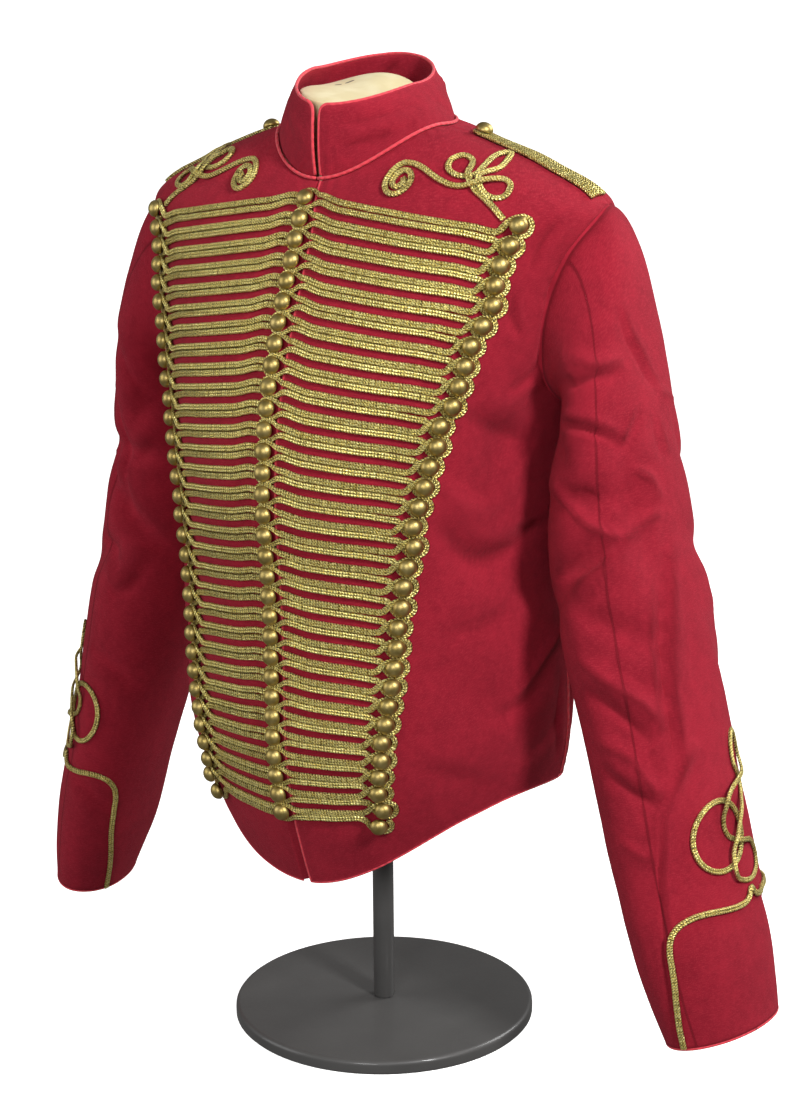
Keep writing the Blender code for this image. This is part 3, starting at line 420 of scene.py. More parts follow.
def worn(surface, creases, to_second=None, side=1):
    """The worn cloth of a surface: gives points at a height above it, and outward directions."""
    lines = []
    for places, wide, depth in creases:
        spots = row_at(places, np.linspace(0, len(places) - 1, CREASE_POINTS))
        first = np.radians(spots[:, 0])
        second = to_second(first, spots[:, 1]) if to_second else spots[:, 1]
        lines.append((surface(first, second), wide, depth))
    mirror = np.array((side, 1.0, 1.0))

    def at(first, second, lift=0.0):
        first, second = np.broadcast_arrays(np.asarray(first, dtype=float), np.asarray(second, dtype=float))
        point, normal = surface(first, second), normal_of(surface, first, second)
        rise = lift + wobble(point * mirror)
        for line, wide, depth in lines:
            rise = rise - crease_depth(point, normal, line, wide, depth)
        return (point + normal * np.asarray(rise)[..., None]) * mirror, normal * mirror

    return at


def armhole_spot(around):
    """Turn and height on the armhole, around from its top by way of the front."""
    return ARMHOLE_TURN - ARMHOLE_TURN_HALF * np.sin(around), ARMHOLE_Z + ARMHOLE_Z_HALF * np.cos(around)


def outer_edge(back, steps):
    """Turn and level up a panel's outer edge, at numbers of the armhole's steps from its lower corner."""
    sign = -1 if back else 1
    low, high = BODY_ROWS[0][2], ARMHOLE_Z - ARMHOLE_Z_HALF
    arm = np.clip(steps - SIDE_STEPS, 0, ARM_STEPS / 2)
    turn, height = armhole_spot(sign * (pi - 2 * pi * arm / ARM_STEPS))
    height = np.where(steps < SIDE_STEPS, low + (high - low) * steps / SIDE_STEPS, height)
    turn = np.where(steps < SIDE_STEPS, ARMHOLE_TURN, turn)
    level = level_at(turn, height)
    level[0] = HEM
    top = level_at(np.array(ARMHOLE_TURN), ARMHOLE_Z + ARMHOLE_Z_HALF)
    above = (steps - SIDE_STEPS - ARM_STEPS / 2) / SHOULDER_STEPS
    level = np.where(above > 0, top + (NECK - top) * above, level)
    turn = np.where(above > 0, ARMHOLE_TURN, turn)
    return turn - sign * SEAM / 2 / row_at(BODY_ROWS, level)[:, SIDE_X], level


def eased(count, crowd=0.6):
    """Shares from 0 to 1 that lie closer at both ends."""
    t = np.linspace(0, 1, count + 1)
    return t - crowd * np.sin(2 * pi * t) / (2 * pi)


def panel_grid(back, starts):
    """Turns and levels of a panel's points, from its edge at the centre line to its outer edge."""
    centre = pi if back else 0.0
    steps, base = [np.array((0.0,))], 0
    for count, fine in ((SIDE_STEPS, SIDE_FINE), (ARM_STEPS // 2, ARM_FINE), (SHOULDER_STEPS, SHOULDER_FINE)):
        steps.append(base + np.arange(1, count * fine + 1) / fine)
        base += count
    steps = np.concatenate(steps)
    end_turn, end_level = outer_edge(back, steps)
    start_level = NECK * steps / base
    turns = np.concatenate([
        np.repeat(np.array(starts[:-1])[None], len(steps), axis=0),
        starts[-1] + (end_turn[:, None] - starts[-1]) * eased(PANEL_COLUMNS)[None],
    ], axis=1)
    share = np.maximum((turns - centre) / (end_turn[:, None] - centre), 0.0)
    return turns, start_level[:, None] + (end_level - start_level)[:, None] * share**2


def lengths(points, axis):
    """Distance along a grid's rows or columns, or along a line of points, from the first."""
    step = np.linalg.norm(np.diff(points, axis=axis), axis=-1)
    start = np.zeros_like(np.take(step, [0], axis=axis))
    return np.concatenate([start, np.cumsum(step, axis=axis)], axis=axis)


SEAM_DIP, SEAM_WIDE = 0.0011, 0.0026  # how far the cloth turns in at a sewn seam, and over what distance
PUCKER, PUCKER_FROM, PUCKER_REACH = 0.00055, 0.004, 0.013  # height of the ripples beside a seam, and where they are
RIPPLE_LONG, RIPPLE_SWELL = 0.00190, 0.0137  # metres of seam for one radian of the ripples and of their swelling
RIPPLE_DRIFTS = ((1.3, 0.0075), (0.9, 0.0211))  # how far the ripples drift, and over what length
RIPPLE_EVEN, RIPPLE_UNEVEN = 0.55, 0.45
FOLD_EDGE = radians(55)  # cloth bent more sharply than this shows an edge


def ripple(along):
    """Uneven ripples along a seam."""
    wander = sum(share * np.sin(along / long) for share, long in RIPPLE_DRIFTS)
    swell = RIPPLE_EVEN + RIPPLE_UNEVEN * np.sin(along / RIPPLE_SWELL + 1.0)
    return np.sin(along / RIPPLE_LONG + wander) * swell


def add_mesh(name, vertices, faces, finish, uv=None, flip=False):
    """A piece that rides on the one body; uv holds metres along the cloth or cord for each vertex."""
    mesh = bpy.data.meshes.new(name)
    faces = [list(face)[::-1] if flip else list(face) for face in faces]
    mesh.from_pydata(np.asarray(vertices).tolist(), [], faces)
    if uv is not None:
        layer = mesh.uv_layers.new(name="cut")
        corners = np.empty(len(mesh.loops), dtype=np.int32)
        mesh.loops.foreach_get("vertex_index", corners)
        layer.uv.foreach_set("vector", np.asarray(uv, dtype=np.float32)[corners].ravel())
    mesh.materials.append(finish)
    mesh.shade_smooth()
    piece = bpy.data.objects.new(name, mesh)
    bpy.context.scene.collection.objects.link(piece)
    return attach(piece, "root")


def grid_faces(rows, columns, base=0):
    index = base + np.arange(rows * columns).reshape(rows, columns)
    return np.stack((index[:-1, :-1], index[:-1, 1:], index[1:, 1:], index[1:, :-1]), -1).reshape(-1, 4)


def cloth_panel(name, node, at, first, second, sewn, finish, flip, drawn=1.0):
    """One cut of cloth as a thin shell; sewn names the edges that meet a neighbour, drawn how tight they are."""
    points, normals = at(first, second)
    u, v = lengths(points, 1), lengths(points, 0)
    sunk = np.zeros(u.shape)
    edges = {"start": (u, v), "end": (u[:, -1:] - u, v), "bottom": (v, u), "top": (v[-1:] - v, u)}
    for edge in sewn:
        off, along = edges[edge]
        sunk += drawn * SEAM_DIP * np.exp(-((off / SEAM_WIDE) ** 2))
        sunk += drawn * PUCKER * np.exp(-off / PUCKER_REACH) * ripple(along) * np.clip(off / PUCKER_FROM, 0, 1)
    outer = points - normals * sunk[..., None]
    inner = outer - normals * CLOTH
    rows, columns = u.shape
    count = rows * columns
    faces = np.concatenate((grid_faces(rows, columns), grid_faces(rows, columns, count)[:, ::-1]))
    index = np.arange(count).reshape(rows, columns)
    rims = []
    for line, turned in ((index[0], False), (index[-1], True), (index[:, 0], True), (index[:, -1], False)):
        rim = np.stack((line[:-1], line[:-1] + count, line[1:] + count, line[1:]), -1)
        rims.append(rim[:, ::-1] if turned else rim)
    faces = np.concatenate([faces] + rims)
    cut = np.stack((u, v[:, :1] + 0 * u), -1).reshape(-1, 2)
    vertices = np.concatenate((outer, inner)).reshape(-1, 3)
    piece = add_mesh(name, vertices, faces, finish, np.concatenate((cut, cut)), flip)
    piece.data.set_sharp_from_angle(angle=FOLD_EDGE)
    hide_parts(node)
    return outer, normals


TWILL, TWILL_BACK = 0.00095, 0.62  # from one diagonal rib of the weave to the next, and the threads across them
CRIMSON, CRIMSON_DEEP, CRIMSON_PALE = (0.390, 0.0150, 0.034, 1), (0.290, 0.0100, 0.025, 1), (0.48, 0.030, 0.052, 1)
CRIMSON_RIB_SHADE, CRIMSON_FOLD_SHADE = (0.20, 0.008, 0.016, 1), (0.14, 0.004, 0.010, 1)  # painted shade between ribs, and painted shade deep in creases
WEFT_STRETCH = (240.0, 1150.0, 1.0)
SLUB, FLECK, MOTTLE, CLOUD, SOFT = 0.0042, 0.0010, 0.0085, 0.055, 0.0075  # sizes of uneven yarn, dye and hand
SOFT_DEEP, WEAVE_DEEP = 0.00035, 0.00015


def cloth_paint():
    """Ribs and threads of the twill with painted shade between the ribs, uneven dye, and creases with painted
    highlights on their edges and painted shade in their depth.
    """
    cut, place = cut_place(), object_place()
    across, up_the_cut, _ = cut.parts()
    slub = grain(cut, SLUB, 3.0)
    rib = ((across + up_the_cut) * (2 * pi / TWILL) + slub * 2.2).maths("SINE")
    thread = ((across - up_the_cut) * (2 * pi / (TWILL * TWILL_BACK)) + slub * 3.0).maths("SINE")
    cloud = grain(place, CLOUD, 3.0, 0.6)
    mottle = grain(place, MOTTLE, 4.0, 0.65)
    fleck = grain(cut, FLECK, 2.0, 0.7)
    weft = grain(stretched(cut, WEFT_STRETCH), 1.0, 2.0, 0.6)
    bent = Wire.node("NewGeometry", out="Pointiness")
    colour = mixed((cloud + mottle).past(0.80, 2.6), CRIMSON_DEEP, CRIMSON)
    colour = mixed((fleck + weft).past(1.0, 4.5) * 0.6, colour, CRIMSON_PALE)
    colour = mixed((1.0 - fleck).past(weft, 4.5) * 0.5, colour, CRIMSON_DEEP)
    # Painted shade between the twill's ribs
    colour = mixed((0.0 - rib).maths("MULTIPLY", 0.22, clamp=True), colour, CRIMSON_RIB_SHADE)
    # Painted shade deep in creases, where the cloth is hollow
    colour = mixed((0.495 - bent).maths("MULTIPLY", 22.0, clamp=True) * 0.6, colour, CRIMSON_FOLD_SHADE)
    # Painted highlight on ridges and edges, where the cloth bends outward
    colour = mixed(bent.past(0.505, 20.0) * 0.3, colour, CRIMSON_PALE)
    soft = raised(grain(cut, SOFT, 3.0), SOFT_DEEP)
    weave = raised(rib * 0.5 + thread * 0.25 + fleck * 0.8 + weft, WEAVE_DEEP, soft)
    return {"Base Color": colour, "Roughness": 0.74 + cloud * 0.14, "Normal": weave}


twill = material(
    "crimson_twill",
    {
        "Specular IOR Level": 0.14,
        "Sheen Weight": 0.09,
        "Sheen Roughness": 0.40,
        "Sheen Tint": (1.0, 0.24, 0.30, 1.0),
    },
    cloth_paint,
)

sewn_panels = {}
for name, surface, back, starts, side in (
    ("front_left", body_point, False, (FRONT_EDGE,), 1),
    ("front_right", right_front_point, False, (-UNDERLAP, -UNDERLAP_FULL, -UNDERLAP_START), -1),
    ("back_left", body_point, True, (BACK_SEAM,), 1),
    ("back_right", body_point, True, (BACK_SEAM,), -1),
):
    turns, levels = panel_grid(back, starts)
    sewn = ("start", "end", "top") if back else ("end", "top")
    at = worn(surface, CREASES[name], level_at, side)
    sewn_panels[name] = cloth_panel(name + "_cloth", name, at, turns, levels, sewn, twill, (side < 0) != back)

# --- The sleeves: each a top and an under half of the same twill, set into the armhole and joined at the fore
# and hind seams, bent at the elbow, with the creases that a hanging sleeve keeps.
FORE_SEAM, HIND_SEAM = 3, 13  # the steps of the armhole at which the halves meet
ROW_STEP = 0.050
SLEEVE_GAP, SLEEVE_DRAWN = SEAM / 10 / 0.055, 0.12  # from a half's edge to the seam, in radians, and its pull
# Sections from upper arm to cuff: x and z of the outer line and of the inner line, y of the middle, half the
# depth from front to back, and twist in degrees
SLEEVE_ROWS = (
    (0.2410, 0.600, 0.1840, 0.530, 0.002, 0.064, 0),
    (0.2490, 0.550, 0.1750, 0.500, 0.004, 0.068, 2),
    (0.2580, 0.500, 0.1715, 0.468, 0.006, 0.071, 5),
    (0.2670, 0.455, 0.1730, 0.432, 0.008, 0.074, 6),
    (0.2775, 0.410, 0.1790, 0.392, 0.008, 0.075, 8),
    (0.2880, 0.370, 0.1900, 0.350, 0.006, 0.074, 9),
    (0.2980, 0.325, 0.2030, 0.305, 0.004, 0.071, 10),
    (0.3080, 0.275, 0.2180, 0.255, 0.001, 0.069, 11),
    (0.3210, 0.220, 0.2360, 0.200, -0.001, 0.069, 13),
    (0.3340, 0.167, 0.2520, 0.147, -0.003, 0.067, 14),
    (0.3440, 0.118, 0.2680, 0.103, -0.003, 0.064, 15),
    (0.3500, 0.073, 0.2870, 0.061, -0.002, 0.057, 15),
)
CUFF = float(len(SLEEVE_ROWS))
CAP_BULGE, CAP_DROP = 0.066, 0.070
CAP_LEAVE = (0.9, -0.3, -0.25)  # how it leaves the armhole: x, y where it faces the front, and z
# Large soft troughs on each sleeve: degrees round and row of the middle, lean, length, width, depth
SLEEVE_FOLDS = (
    (80, 2.1, 8, 0.055, 0.015, 0.0090),
    (95, 3.4, -35, 0.060, 0.014, 0.0090),
    (60, 4.4, 30, 0.045, 0.015, 0.0070),
    (30, 2.6, 80, 0.075, 0.015, 0.0050),
    (110, 1.0, 45, 0.040, 0.014, 0.0060),
    (-60, 3.6, 20, 0.055, 0.016, 0.0070),
    (-95, 2.3, -25, 0.050, 0.016, 0.0070),
    (-50, 5.8, 60, 0.060, 0.016, 0.0050),
)
# Creases on each sleeve: places (degrees round from the outer line by the front, row below the head) that one
# runs through, its half width and its depth
SLEEVE_CREASES = {
    "left": (
        (((34, -0.34), (22, -0.02), (7, 0.55), (-6, 0.86)), 0.0036, 0.0026),
        (((-4, 0.82), (-16, 0.90), (-38, 0.96)), 0.0050, -0.0018),
        (((132, -0.60), (76, 0.08), (29, 0.46)), 0.0050, 0.0026),
        (((122, -0.75), (70, -0.14), (30, 0.20)), 0.0070, -0.0020),
        (((122, 0.34), (71, 0.90), (33, 1.48)), 0.0046, 0.0036),
        (((36, 1.48), (27, 1.22), (19, 0.98)), 0.0030, 0.0022),
        (((5, 1.16), (3, 1.52), (-3, 1.88)), 0.0036, 0.0024),
        (((31, 1.78), (14, 2.06), (8, 2.46)), 0.0042, -0.0018),
        (((130, 1.30), (84, 2.29), (61, 2.67), (46, 2.92)), 0.0055, -0.0032),
        (((46, 2.92), (62, 3.09), (76, 3.21), (122, 3.48)), 0.0062, 0.0048),
        (((44, 2.94), (28, 2.75), (9, 2.62)), 0.0050, -0.0026),
        (
            ((9, 2.72), (12, 3.42), (19, 4.05), (25, 4.76), (31, 5.74), (29, 6.37), (33, 6.80), (40, 7.16)),
            0.0046, 0.0032,
        ),
        (((21, 3.36), (31, 4.33), (37, 5.37), (39, 6.32)), 0.0050, -0.0018),
        (((8, 3.60), (12, 4.52), (17, 5.60)), 0.0060, -0.0014),
        (((38, 7.06), (48, 7.36), (52, 7.74), (58, 8.20), (63, 8.90), (68, 9.70), (71, 10.60)), 0.0030, 0.0022),
        (((98, 4.76), (76, 5.17), (50, 5.67), (41, 6.02)), 0.0065, -0.0030),
        (((94, 5.34), (73, 5.72), (54, 6.18), (45, 6.40)), 0.0085, 0.0042),
        (((92, 6.22), (65, 6.52), (49, 7.10)), 0.0055, -0.0030),
        (((96, 6.62), (62, 7.10), (47, 7.30)), 0.0060, 0.0034),
        (((10, 6.52), (24, 6.78), (40, 7.22)), 0.0060, -0.0022),
        (((87, 7.66), (69, 7.86), (56, 7.98)), 0.0050, -0.0018),
        (((-20, 1.20), (-48, 1.90), (-80, 2.00)), 0.0080, 0.0026),
        (((-44, 4.70), (-66, 4.90), (-104, 4.60)), 0.0080, 0.0030),
        (((-48, 6.90), (-70, 7.30), (-100, 7.20)), 0.0080, 0.0022),
        (((-34, 8.80), (-60, 9.20), (-84, 9.00)), 0.0070, 0.0016),
        (((172, 3.10), (196, 3.90), (214, 4.10)), 0.0070, 0.0026),
    ),
    "right": (
        (((50, 0.25), (86, 0.40), (120, 0.60)), 0.0070, 0.0022),
        (((62, 1.00), (78, 2.10), (90, 3.50)), 0.0065, 0.0024),
        (((44, 1.60), (58, 2.40), (62, 3.40)), 0.0050, 0.0016),
        (((124, 1.60), (100, 2.20), (84, 2.40)), 0.0060, 0.0022),
        (((46, 4.10), (70, 4.25), (92, 4.55)), 0.0065, 0.0026),
        (((120, 4.10), (104, 4.90), (80, 5.10)), 0.0075, 0.0030),
        (((66, 6.30), (96, 6.45), (130, 6.90)), 0.0075, 0.0024),
        (((54, 8.40), (90, 8.60), (126, 9.10)), 0.0075, 0.0018),
        (((20, 5.10), (30, 6.60), (38, 8.20)), 0.0032, 0.0011),
        (((28, 0.90), (6, 1.90), (4, 3.10)), 0.0050, 0.0016),
        (((-24, 1.40), (-52, 2.10), (-84, 2.10)), 0.0080, 0.0024),
        (((-30, 4.30), (-66, 4.70), (-100, 4.50)), 0.0080, 0.0030),
        (((-38, 6.90), (-70, 7.20), (-96, 7.60)), 0.0080, 0.0020),
        (((170, 3.40), (192, 4.00), (212, 4.40)), 0.0070, 0.0020),
    ),
}


def sleeve_ring(around, row):
    """Points of the left sleeve below its head, around from the outer line by the front."""
    outer_x, outer_z, inner_x, inner_z, mid_y, half_y, twist = np.moveaxis(row_at(SLEEVE_ROWS, row), -1, 0)
    zero = np.zeros_like(mid_y)
    middle = np.stack(((outer_x + inner_x) / 2, mid_y, (outer_z + inner_z) / 2), -1)
    out = np.stack(((outer_x - inner_x) / 2, zero, (outer_z - inner_z) / 2), -1)
    narrow = np.linalg.norm(out, axis=-1, keepdims=True)
    out, fore, turned = out / narrow, np.array((0.0, -1.0, 0.0)), np.radians(twist)[..., None]
    wide_axis = np.cos(turned) * fore - np.sin(turned) * out
    narrow_axis = np.cos(turned) * out + np.sin(turned) * fore
    sunk = 0.0
    for at, fold_row, *shape in SLEEVE_FOLDS:
        gap = (around - radians(at) + pi) % (2 * pi) - pi
        sunk = sunk + trough(gap * half_y, (fold_row - row) * ROW_STEP, *shape)
    c, s = np.cos(around)[..., None], np.sin(around)[..., None]
    sway = c * narrow_axis + s * wide_axis
    return middle + c * narrow_axis * narrow + s * wide_axis * half_y[..., None] - sway * sunk[..., None]


def sleeve_point(around, along):
    """The left sleeve's outer face: along is 0 at the armhole, 1 at the first section of the table."""
    around, along = np.broadcast_arrays(np.asarray(around, dtype=float), np.asarray(along, dtype=float))
    below = sleeve_ring(around, np.maximum(along - 1.0, 0.0))
    turn, height = armhole_spot(around)
    one = np.ones_like(around)
    leave = unit(np.stack((one, np.sin(around), one), -1) * CAP_LEAVE)
    start = body_point(turn, level_at(turn, height)) + leave * SEAM * 3
    end = sleeve_ring(around, np.zeros_like(around))
    arrive = (sleeve_ring(around, np.full_like(around, 0.5)) - end) * (2 * CAP_DROP / ROW_STEP)
    t = np.minimum(along, 1.0)[..., None]
    head = start * (1 - (3 * t**2 - 2 * t**3)) + end * (3 * t**2 - 2 * t**3)
    head = head + leave * t * (1 - t) ** 2 * CAP_BULGE + arrive * t**2 * (t - 1)
    return np.where(along[..., None] >= 1.0, below, head)


HEAD_ROWS, ARM_ROWS, HALF_COLUMNS = 26, 176, 60
alongs = np.concatenate((np.linspace(0, 1, HEAD_ROWS)[:-1], np.linspace(1, CUFF, ARM_ROWS)))
sleeve_at = {}
for side, word in ((1, "left"), (-1, "right")):
    sleeve_at[word] = worn(sleeve_point, tuple(
        (tuple((around, row + 1.0) for around, row in places), wide, depth)
        for places, wide, depth in SLEEVE_CREASES[word]
    ), None, side)
    for half, first, last in (("top", HIND_SEAM - ARM_STEPS, FORE_SEAM), ("under", FORE_SEAM, HIND_SEAM)):
        edge = 2 * pi * np.array((first, last)) / ARM_STEPS + np.array((SLEEVE_GAP, -SLEEVE_GAP))
        arounds = edge[0] + (edge[1] - edge[0]) * eased(HALF_COLUMNS)
        node = f"sleeve_{half}_{word}"
        sewn_panels[node] = cloth_panel(
            node + "_cloth", node, sleeve_at[word], arounds[None], alongs[:, None],
            ("start", "end", "bottom"), twill, side > 0, SLEEVE_DRAWN,
        )
        sewn_panels[node] += (arounds,)

# --- Armhole seams: the folded-in edges of the body and the sleeve, sewn together from inside, which meet in a
# soft groove all round.
SEAM_STEPS, FOLD_IN = 180, 0.0009
GROOVE, GROOVE_MIDDLE, SEAM_BACK = 0.0006, 1.6, 0.8  # its depth, shares of it, and of the cloth's thickness
BODY_INSET, SLEEVE_INSET = 4, 3  # columns and rows from an edge to where its way into the cloth is taken


def round_armhole(parts):
    """Edge points, normals and ways into the cloth at even places round an armhole."""
    around = np.concatenate([part[0] for part in parts])
    values = np.concatenate([np.concatenate(part[1:], axis=1) for part in parts])
    even = 2 * pi * np.arange(SEAM_STEPS) / SEAM_STEPS
    values = np.stack([np.interp(even, around, column, period=2 * pi) for column in values.T], -1)
    return values[:, :3], values[:, 3:6], values[:, 6:]


for side, word in ((1, "left"), (-1, "right")):
    body_parts, sleeve_parts = [], []
    first = SIDE_STEPS * SIDE_FINE
    rows = slice(first, first + ARM_STEPS // 2 * ARM_FINE + 1)
    for panel, sign in (("front_", 1), ("back_", -1)):
        outer, normals = sewn_panels[panel + word]
        around = sign * np.linspace(pi, 0, outer[rows].shape[0])
        inward = outer[rows, -1 - BODY_INSET] - outer[rows, -1]
        body_parts.append((around, outer[rows, -1], normals[rows, -1], inward))
    for half in ("top_", "under_"):
        outer, normals, around = sewn_panels["sleeve_" + half + word]
        sleeve_parts.append((around, outer[0], normals[0], outer[SLEEVE_INSET] - outer[0]))
    (body_edge, body_up), (sleeve_edge, sleeve_up) = (
        (place + unit(inward) * FOLD_IN, normal)
        for place, normal, inward in (round_armhole(body_parts), round_armhole(sleeve_parts))
    )
    middle, between = (body_edge + sleeve_edge) / 2, (body_up + sleeve_up) / 2
    rings = np.stack((
        body_edge - body_up * GROOVE, middle - between * GROOVE * GROOVE_MIDDLE,
        sleeve_edge - sleeve_up * GROOVE, sleeve_edge - sleeve_up * CLOTH * SEAM_BACK,
        body_edge - body_up * CLOTH * SEAM_BACK,
    ), axis=1)
    index = np.arange(rings.shape[0] * rings.shape[1]).reshape(rings.shape[:2])
    after = np.roll(index, -1, axis=0)
    faces = np.stack((index, np.roll(index, -1, axis=1), np.roll(after, -1, axis=1), after), -1).reshape(-1, 4)
    add_mesh("armhole_seam_" + word, rings.reshape(-1, 3), faces, twill, None, side > 0)

# --- The collar: a stand of the same twill over stiff canvas, one piece from its left front edge round to the
# right one, with rounded top corners.
COLLAR_TOP = (0.7706, -0.0816, 0.7904, 0.0478, -0.0124, 0.8050, 0.0547, 1.45)  # columns as in BODY_ROWS
TOP_TILT = -0.123  # slope of the collar's top edge and the neck cap toward the wearer's left, as it is worn
COLLAR_GAP = (0.0036, 0.0042)  # from the centre front to the collar's edges, at its foot and its top
COLLAR_CORNER, COLLAR_BOW = 0.0060, 0.002
COLLAR_TALL = COLLAR_TOP[0] - BODY_ROWS[-1][0]
COLLAR_COLUMNS, COLLAR_ROWS, COLLAR_CROWD = 150, 24, 0.8
# Places (turn in degrees, share of the height) that a crease runs through, its half width and its depth
COLLAR_CREASES = (
    (((20, 0.74), (44, 0.64), (80, 0.58)), 0.0060, 0.0014),
    (((16, 0.40), (34, 0.34), (52, 0.26)), 0.0055, 0.0018),
    (((30, 0.18), (48, 0.24), (70, 0.20)), 0.0060, 0.0012),
    (((300, 0.60), (322, 0.52), (346, 0.34)), 0.0060, 0.0016),
    (((196, 0.90), (204, 0.66), (215, 0.44)), 0.0050, -0.0022),
    (((160, 0.92), (172, 0.60), (186, 0.46)), 0.0060, -0.0018),
    (((132, 0.86), (140, 0.60), (146, 0.40)), 0.0050, -0.0016),
    (((88, 0.70), (104, 0.40), (112, 0.12)), 0.0060, 0.0010),
)


def collar_point(turn, share):
    """The collar's outer face: share is 0 at the neck seam and 1 at the top edge."""
    turn, share = np.broadcast_arrays(np.asarray(turn, dtype=float), np.asarray(share, dtype=float))
    foot = body_point(turn, np.full_like(turn, NECK)) + np.array((0.0, 0.0, SEAM * 2))
    head = section_point(np.array(COLLAR_TOP), turn)
    head[..., 2] += TOP_TILT * head[..., 0]
    return foot + (head - foot) * share[..., None] + outward(turn) * (COLLAR_BOW * np.sin(pi * share))[..., None]


def collar_ends(share):
    """The turn of the collar's left front edge at shares of its height."""
    wide = BODY_ROWS[-1][SIDE_X] + (COLLAR_TOP[SIDE_X] - BODY_ROWS[-1][SIDE_X]) * share
    gap = COLLAR_GAP[0] + (COLLAR_GAP[1] - COLLAR_GAP[0]) * share
    return np.arcsin(gap / wide)


def collar_height(turn, share):
    """How far up a share of the collar's full height lies at a turn, lower within the corners' round."""
    edge = np.minimum(turn, 2 * pi - turn) - collar_ends(share)
    away = np.clip(1 - edge * COLLAR_TOP[SIDE_X] / COLLAR_CORNER, 0, 1)
    return share * (1 - (1 - np.sqrt(1 - away**2)) * COLLAR_CORNER / COLLAR_TALL * share**3)


shares = np.linspace(0, 1, COLLAR_ROWS + 1)[:, None]
ends = collar_ends(shares)
collar_turn = ends + (2 * pi - 2 * ends) * eased(COLLAR_COLUMNS, COLLAR_CROWD)[None]
collar_at = worn(collar_point, COLLAR_CREASES)
collar_share = collar_height(collar_turn, shares)
cloth_panel("collar_cloth", "collar", collar_at, collar_turn, collar_share, ("bottom",), twill, False)

# --- Piping: a filler cord inside coral red bias cloth, sewn into the left front edge, the hem, the cuffs,
# the collar's edges and the neck seam, and down both sides of the short vents at the side seams.
PIPE, PIPE_SIDES = 0.0026, 10
PIPE_REACH = PIPE / 2 - SEAM  # from a cloth edge to the middle of the piping along it
VENT_FROM, VENT_TOP = BODY_ROWS[0][2] + 0.002, 0.330
VENT_PIPE, VENT_OFF = 0.0013, 0.0021  # its piping, across, and from the seam to each
EDGE_POINTS, HEM_POINTS, VENT_POINTS, CUFF_POINTS, NECK_POINTS = 190, 220, 40, 120, 200
COLLAR_EDGE_POINTS, CORNER_POINTS, COLLAR_TOP_POINTS, CORNER_END = 26, 14, 200, 0.22  # the last is a turn
EDGE_ENDS = (NECK - 0.25, HEM + 0.06)  # levels at which the piping down the front edge starts and ends
COLLAR_EDGE_FROM = 0.04  # share of the collar's height at which the piping up its front edges starts
EDGE_WAY, CORNER_WAY, HEM_WAY = (-1.0, 0.0), (-1.0, -1.0), (0.0, -1.0)  # how turn and level leave the cloth
WAY_STEP = 0.02
CORAL, CORAL_DEEP, CORAL_PALE = (0.78, 0.050, 0.075, 1), (0.62, 0.030, 0.050, 1), (0.86, 0.085, 0.115, 1)
PULL, PULL_DRIFT, BIAS_THREAD, CORAL_CLOUD = 0.0062, 0.012, 0.0008, 0.030  # sizes along the piping, in metres
PULL_DEEP, BIAS_DEEP = 0.00022, 0.00005


def ringed(points, normals, across_r, up_r, sides, closed=False, off=0.0):
    """A tube along points, off to one side of them: vertices, faces and (length, turn) of each vertex."""
    run = np.roll(points, -1, axis=0) - np.roll(points, 1, axis=0) if closed else np.gradient(points, axis=0)
    across = unit(np.cross(run, normals))
    count = len(points)
    across_r, up_r, off = (np.broadcast_to(value, count)[:, None] for value in (across_r, up_r, off))
    middle = points + across * off
    angle = 2 * pi * (np.arange(sides) + 0.5) / sides - pi / 2
    vertices = np.stack([middle + across * across_r * cos(a) + normals * up_r * sin(a) for a in angle], axis=1)
    i, k = np.meshgrid(np.arange(count if closed else count - 1), np.arange(sides), indexing="ij")
    j, m = (i + 1) % count, (k + 1) % sides
    faces = np.stack((i * sides + k, j * sides + k, j * sides + m, i * sides + m), -1).reshape(-1, 4).tolist()
    if not closed:
        faces += [list(range(sides)), list(range((count - 1) * sides, count * sides))[::-1]]
    cut = np.stack(np.broadcast_arrays(lengths(points, 0)[:, None], np.arange(sides) / sides), -1)
    return vertices.reshape(-1, 3), faces, cut.reshape(-1, 2)


def joined(name, tubes, finish, node):
    """One piece made of several tubes, in place of a node of the solids."""
    base, faces = 0, []
    for vertices, tube_faces, _ in tubes:
        faces += [[base + k for k in face] for face in tube_faces]
        base += len(vertices)
    vertices, cut = (np.concatenate([tube[k] for tube in tubes]) for k in (0, 2))
    piece = add_mesh(name, vertices, faces, finish, cut)
    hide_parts(node)


def coral_paint():
    """Bias cloth drawn round the cord: slanting pulls, a fine thread and uneven dye."""
    along, turn, _ = cut_place().parts()
    place = object_place()
    pull = (along * (2 * pi / PULL) + turn * (2 * pi) + grain(place, PULL_DRIFT) * 5.0).maths("SINE")
    thread = (along * (2 * pi / BIAS_THREAD) - turn * 24.0).maths("SINE")
    cloud = grain(place, CORAL_CLOUD, 3.0)
    colour = mixed((pull * 0.5 + 0.5) * 0.40, CORAL, CORAL_DEEP)
    colour = mixed(cloud.past(0.4, 2.0) * 0.5, colour, CORAL_PALE)
    return {
        "Base Color": colour,
        "Roughness": 0.52 + cloud * 0.15,
        "Normal": raised(thread, BIAS_DEEP, raised(pull, PULL_DEEP)),
    }


coral = material("coral_piping", {"Specular IOR Level": 0.4, "Sheen Weight": 0.15}, coral_paint)


def piped(at, first, second, way):
    """Points and normals of piping beside an edge; way tells how first and second leave the cloth there."""
    point, normal = at(first, second, -CLOTH / 2)
    away = np.zeros_like(point)
    for k in (0, 1):
        back = way[:, k] * WAY_STEP
        step = point - at(first - back * (1 - k), second - back * k, -CLOTH / 2)[0]
        away += step / np.maximum(np.linalg.norm(step, axis=1, keepdims=True), 1e-9)
    return point + away * PIPE_REACH, normal


def pipe_tube(route, closed=False, radius=PIPE / 2):
    return ringed(*route, radius, radius, PIPE_SIDES, closed)


